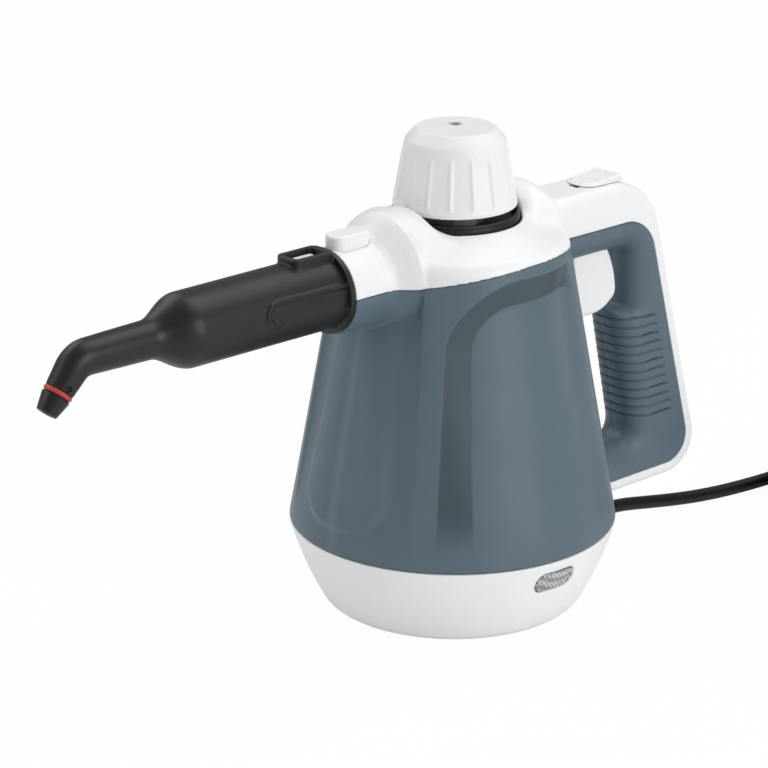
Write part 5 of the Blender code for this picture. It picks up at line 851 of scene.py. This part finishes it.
def nozzle_axis(x, y, z):
    """How far along the nozzle's centre line, and how far from it."""
    z = z - NOZZLE_LIFT
    past = -x - ARC_START
    drop = z - AXIS_Z + BEND
    turn = np.clip(np.arctan2(past, np.maximum(drop, 1e-6)), 0, ELBOW)
    turn = np.where((past > 0) & (drop <= 0), ELBOW, turn)
    run = (ELBOW_X - x) * math.cos(ELBOW) + (AXIS_Z - z) * math.sin(ELBOW)
    off = (ELBOW_X - x) * math.sin(ELBOW) - (AXIS_Z - z) * math.cos(ELBOW)
    on_arc = turn < ELBOW
    bent = np.where(on_arc, ARC_START + BEND * turn, ARC_START + BEND * ELBOW + run - REACH)
    along = np.where(past <= 0, -x, bent)
    off = np.where(past <= 0, z - AXIS_Z, np.where(on_arc, np.hypot(past, drop) - BEND, off))
    return along, np.hypot(y, off)


def line_distance(u, v, points):
    """Distance to a chain of straight lines in a plane."""
    found = 1e3
    for (u0, v0), (u1, v1) in zip(points, points[1:]):
        du, dv = u1 - u0, v1 - v0
        t = np.clip(((u - u0) * du + (v - v0) * dv) / (du * du + dv * dv), 0, 1)
        found = np.minimum(found, np.hypot(u - u0 - t * du, v - v0 - t * dv))
    return found


def barrel_radius(along):
    wide = np.interp(along, (78.3, 150.0), (16.5, 16.35))
    slim = np.interp(along, (150.0, 174.0, 190.0, ARC_START + 3, RING_AT), (8.6, 8.4, 8.1, 7.7, 6.1))
    return np.where(along < 78.1, 18.8, slim + (wide - slim) * (1 - ease((along - 154.3) / 20.0)))


def nozzle_field(x, y, z):
    along, away = nozzle_axis(x, y, z)
    tip = np.interp(along, (RING_AT + 1.0, RING_AT + 1.6, RING_AT + 9.6), (4.8, 6.3, 4.5))
    body = np.where(along < RING_AT, away - barrel_radius(along), away - tip)
    body = np.where(np.abs(along - RING_AT) < 1.2, away - 4.8, body)
    body = rmax(body * 0.8, along - RING_AT - 9.6, 0.6)
    body = rmax(body, 75.3 - along, 0.4)
    lip = rmax(rmax(np.maximum(-x - 98.8, x + 76.3), np.abs(y) - 7.2, 3.6), z - 183.0, 0.9)
    form = rmin(body, np.maximum(lip, AXIS_Z + 6.0 - z), 0.7)
    wrap = np.arctan2(z - AXIS_Z - NOZZLE_LIFT, -y) * 16.3
    rib = line_distance(-x, wrap, RIB_LINE)
    form = form - 0.8 * ease(1.4 - rib / 1.2) * (y < 0) * (x > -126)
    dimple = 1.3 - np.sqrt((x + 217.7) ** 2 + (y + 6.4) ** 2 + (z - 154.3) ** 2)
    form = rmax(form, dimple, 0.25)
    bore = np.maximum(np.hypot(y, z - AXIS_Z) - 13.7, -x - 115.0)
    duct = np.maximum(np.hypot(y, z - AXIS_Z) - 6.9, -x - 133.0)
    steam = np.maximum(away - 2.2, 130.0 - along)
    slot = np.maximum(rmax(np.abs(x + 88.3) - 8.0, np.abs(y) - 4.6, 2.0), 168.0 - z)
    hollow = np.minimum(np.minimum(bore, duct), np.minimum(steam, slot))
    return rmax(form, -hollow, 0.35)


moulded("jet_lance", nozzle_field, (-232, -20, 134), (-74, 20, 187), 0.65, BLACK, "nozzle",
        ("jet_nozzle",), 0.5)


def tip_ring_field(x, y, z):
    along, away = nozzle_axis(x, y, z)
    return np.hypot(along - RING_AT, away - 5.2) - 1.2


moulded("tip_ring", tip_ring_field, (-232, -9, 138), (-208, 9, 162), 0.35, RED, "nozzle",
        ("tip_seal",), 0.7)


# Button, slider and trigger
def button_field(x, y, z):
    pad = rmax(np.abs(x - BUTTON_X) - 10.1, np.abs(y) - 5.6, 4.6)
    pad = rmax(rmax(pad, z - 187.6, 1.2), 174.0 - z, 0.2)
    latch = box_field(x, y, z, (-102.0, -4.8, 171.4), (-56.0, 4.8, 174.4), 0.4)
    lip = box_field(x, y, z, (-74.6, -4.8, 171.4), (-52.0, 4.8, 176.6), 0.3)
    tooth = box_field(x, y, z, (-95.3, -4.0, 172.0), (-81.4, 4.0, 180.8), 0.9)
    pocket = np.maximum(np.hypot(x - BUTTON_X, y) - 3.5, z - 174.2)
    return np.maximum(np.minimum(np.minimum(pad, tooth), np.minimum(latch, lip)), -pocket)


moulded("catch_button", button_field, (-104, -7, 170), (-50, 7, 189), 0.45, WHITE, "release_latch",
        ("release_button",), 0.5)


def slider_field(x, y, z):
    plan = rmax(np.abs(x - 87.5) - 11.1, np.abs(y) - 8.0, 2.2)
    nose = np.hypot(np.maximum(84.4 - x, 0), y) - 8.0
    plan = rmax(plan, nose, 0.5)
    top = 182.4 + (x - 77.0) * 0.08
    share = (x - 84.0) / 2.2
    lines = np.abs(share - np.round(np.clip(share, 0, 5))) * 2.2
    groove = np.clip(1.4 - lines / 0.6, 0, 1) * np.clip((6.4 - np.abs(y)) / 0.6, 0, 1)
    wedge = rmax(plan, z - top + 0.9 * groove, 0.8)
    wedge = np.minimum(wedge, rmax(plan - 1.5, z - 181.95, 0.4))
    wedge = np.maximum(wedge, 181.3 - z)
    stem = box_field(x, y, z, (80.0, -2.5, 176.8), (90.0, 2.5, 182.5))
    keeper = box_field(x, y, z, (72.0, -4.8, 176.1), (92.0, 4.8, 178.3), 0.2)
    return np.minimum(wedge, np.minimum(stem, keeper))


moulded("lock_slide", slider_field, (70, -10.5, 175), (102, 10.5, 188), 0.4, WHITE, "lock_slider",
        ("lock_switch",), 0.6)


PIVOT = (76.0, 156.5)
TRIGGER_FRONT_X = 69.0
TRIGGER_BACK_X = 98.3
TRIGGER_FOOT_Z = 118.5


def trigger_field(x, y, z):
    from_pin = np.hypot(x - PIVOT[0], z - PIVOT[1])
    front = rmax(TRIGGER_FRONT_X - x, through(x, z, (TRIGGER_FRONT_X, 138.5), (73.6, TRIGGER_FOOT_Z)), 3.0)
    form = rmax(front, TRIGGER_FOOT_Z - z, 3.2)
    form = rmax(form, through(x, z, (88.5, TRIGGER_FOOT_Z), (TRIGGER_BACK_X, 125.0)), 3.2)
    form = rmax(form, x - TRIGGER_BACK_X, 3.0)
    form = rmax(form, through(x, z, (98.5, 138.0), (91.5, 150.0)), 6.0)
    form = rmax(form, z - 156.0, 1.6)
    form = rmax(form, np.abs(y) - 7.0, 2.0)
    hub = np.maximum(from_pin - 5.2, np.maximum(-5.4 - y, y - 2.6))
    arm = box_field(x, y, z, (73.0, -3.0, PIVOT[1]), (79.0, 2.3, 170.5), 0.3)
    form = np.minimum(form, np.minimum(hub, arm))
    pocket = np.maximum(from_pin - 4.8, 2.6 - y)
    return np.maximum(form, -np.minimum(pocket, from_pin - 2.4))


moulded("steam_trigger", trigger_field, (66, -8.5, 116), (100, 8.5, 172), 0.5, WHITE, "trigger_lever",
        ("trigger",), 0.6)


# Boot, tie and plug
def boot_field(x, y, z):
    away = np.hypot(y, z - GLAND_Z)
    taper = away - np.interp(x, (68.2, 100.0), (6.8, 4.2))
    share = (x - 72.6) / 4.45
    rings = np.abs(share - np.round(np.clip(share, 0, 5))) * 4.45
    taper = taper + 1.3 * np.clip(1.4 - rings / 0.8, 0, 1)
    taper = rmax(rmax(taper, 68.2 - x, 0.4), x - 100.0, 0.4)
    neck = np.maximum(away - 5.2, np.maximum(56.0 - x, x - 70.0))
    flange = np.maximum(away - 8.0, np.maximum(54.0 - x, x - 57.0))
    return np.minimum(taper, np.minimum(neck, flange))


moulded("cord_boot", boot_field, (52, -10, 3), (102, 10, 24), 0.45, RUBBER, "housing",
        ("strain_relief",), 0.6)

PLUG_START = np.array(CORD_TAIL[-1])
PLUG_WAY = np.array((0.225, -0.974, 0.0))
PLUG_WAY = PLUG_WAY / np.linalg.norm(PLUG_WAY)
PLUG_ACROSS = np.array((PLUG_WAY[1], -PLUG_WAY[0], 0.0))


def plug_field(x, y, z):
    dx, dy, dz = x - PLUG_START[0], y - PLUG_START[1], z - PLUG_START[2]
    along = dx * PLUG_WAY[0] + dy * PLUG_WAY[1]
    side = dx * PLUG_ACROSS[0] + dy * PLUG_ACROSS[1]
    away = np.hypot(side, dz)
    radius = np.interp(along, (0, 18, 24, 40, 56), (4.2, 5.8, 11.6, 17.9, 17.9))
    form = rmax(rmax((away - radius) * 0.8, along - 56.0, 1.5), 0.3 - along, 0.3)
    share = (along - 3.5) / 3.4
    rings = np.abs(share - np.round(np.clip(share, 0, 3))) * 3.4
    form = form + 0.9 * np.clip(1.3 - rings / 0.8, 0, 1) * (along < 17)
    for shift in (-9.5, 9.5):
        form = np.maximum(form, -np.maximum(np.hypot(side - shift, dz) - 2.7, 47.5 - along))
    return form


moulded("plug_shell", plug_field, (285, -130, -1), (345, -64, 38), 0.7, RUBBER, "housing",
        ("plug_body",), 0.6)


def tie_field(x, y, z):
    inner = COIL_INNER_RADIUS + COIL_PITCH / 2
    outer = inner + COIL_PITCH * 2
    middle = COIL_CENTRE[1]
    low_y, high_y = middle - outer - CORD_RADIUS - 0.6, middle - inner + CORD_RADIUS + 1.2
    low_z = COIL_LIFT - 0.3
    high_z = COIL_LIFT + 2 * CORD_RADIUS + COIL_PITCH * (COIL_LAYERS - 1) + 0.3
    hole = rmax(np.maximum(low_y - y, y - high_y), np.maximum(low_z - z, z - high_z), 1.2)
    band = rmax(np.maximum(low_y - 1.2 - y, y - high_y - 1.2), np.maximum(low_z - 1.2 - z, z - high_z - 1.2), 2.4)
    aside = x - COIL_CENTRE[0]
    ridged = band + 0.12 * np.cos(2 * math.pi * aside / 1.6)
    return rmax(np.maximum(ridged, -hole), np.abs(aside) - 5.0, 0.3)


moulded("coil_band", tie_field, (230, -112, -1), (244, -82, 32), 0.5, RUBBER, "housing",
        ("cord_tie",), 0.6)


# Cap spring, short enough for the cap to be pressed
SPRING_POINTS_PER_TURN = 32


def spring_points(radius, low, high, turns):
    """A coil spring's centre line, its first and last half turns closed flat."""
    points = []
    for i in range(turns * SPRING_POINTS_PER_TURN + 1):
        turn = i / SPRING_POINTS_PER_TURN
        climb = min(max((turn - 0.5) / (turns - 1.0), 0), 1)
        angle = 2 * math.pi * turn
        points.append((radius * math.cos(angle), radius * math.sin(angle), low + (high - low) * climb))
    return points


press_spring = tube("press_spring", spring_points(8.6, 204.3, 216.5, 4), 0.6, 3, STEEL)
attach(press_spring, "cap_plug")
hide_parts("cap_spring")


# Floor, world and lights
def floor_material():
    """White that the camera sees almost without shading, while it lights and mirrors as a real floor does."""
    made, tree, shader = new_material("floor_white")
    shader.inputs["Base Color"].default_value = (0.93, 0.93, 0.93, 1)
    shader.inputs["Roughness"].default_value = 0.7
    shader.inputs["Specular IOR Level"].default_value = 0.2
    glow = add_node(tree, "ShaderNodeEmission")
    glow.inputs["Color"].default_value = (1, 1, 1, 1)
    glow.inputs["Strength"].default_value = 1.0
    path = add_node(tree, "ShaderNodeLightPath")
    mix = add_node(tree, "ShaderNodeMixShader")
    tree.links.new(worked(tree, "MULTIPLY", path.outputs["Is Camera Ray"], 0.96), mix.inputs["Fac"])
    tree.links.new(shader.outputs["BSDF"], mix.inputs[1])
    tree.links.new(glow.outputs["Emission"], mix.inputs[2])
    tree.links.new(mix.outputs["Shader"], tree.nodes["Material Output"].inputs["Surface"])
    return made


FLOOR_HALF = 6
floor_mesh = bpy.data.meshes.new("floor")
floor_mesh.from_pydata([(-FLOOR_HALF, -FLOOR_HALF, 0), (FLOOR_HALF, -FLOOR_HALF, 0), (FLOOR_HALF, FLOOR_HALF, 0),
                        (-FLOOR_HALF, FLOOR_HALF, 0)], [], [(0, 1, 2, 3)])
floor_mesh.materials.append(floor_material())
floor = bpy.data.objects.new("floor", floor_mesh)
bpy.context.scene.collection.objects.link(floor)

world = bpy.data.worlds.new("studio")
world.use_nodes = True
bpy.context.scene.world = world
tree = world.node_tree
ambient = tree.nodes["Background"]
ambient.inputs["Color"].default_value = (0.95, 0.97, 1.0, 1)
ambient.inputs["Strength"].default_value = 0.34
backdrop = add_node(tree, "ShaderNodeBackground")
backdrop.inputs["Color"].default_value = (1, 1, 1, 1)
backdrop.inputs["Strength"].default_value = 1.0
path = add_node(tree, "ShaderNodeLightPath")
either = worked(tree, "MAXIMUM", path.outputs["Is Camera Ray"], path.outputs["Is Transmission Ray"])
mix = add_node(tree, "ShaderNodeMixShader")
tree.links.new(either, mix.inputs["Fac"])
tree.links.new(ambient.outputs["Background"], mix.inputs[1])
tree.links.new(backdrop.outputs["Background"], mix.inputs[2])
tree.links.new(mix.outputs["Shader"], tree.nodes["World Output"].inputs["Surface"])


LIGHT_AIM = (0, 0, 110)


def softbox(name, place, size, power):
    """A soft lamp that faces the housing."""
    data = bpy.data.lights.new(name, "AREA")
    data.shape = "RECTANGLE"
    data.size, data.size_y = size
    data.energy = power
    made = bpy.data.objects.new(name, data)
    bpy.context.scene.collection.objects.link(made)
    made.location = placed(place)
    made.rotation_mode = "QUATERNION"
    made.rotation_quaternion = (Vector(placed(LIGHT_AIM)) - made.location).to_track_quat("-Z", "Y")


softbox("key_light", (70, -1150, 560), (0.8, 0.8), 7.4)
softbox("top_light", (420, -60, 1180), (1.0, 1.0), 6.4)
softbox("rear_light", (-200, 800, 900), (0.9, 0.5), 3.0)
softbox("left_light", (-950, 500, 450), (0.6, 0.8), 2.4)

bpy.context.scene.view_settings.view_transform = "Standard"
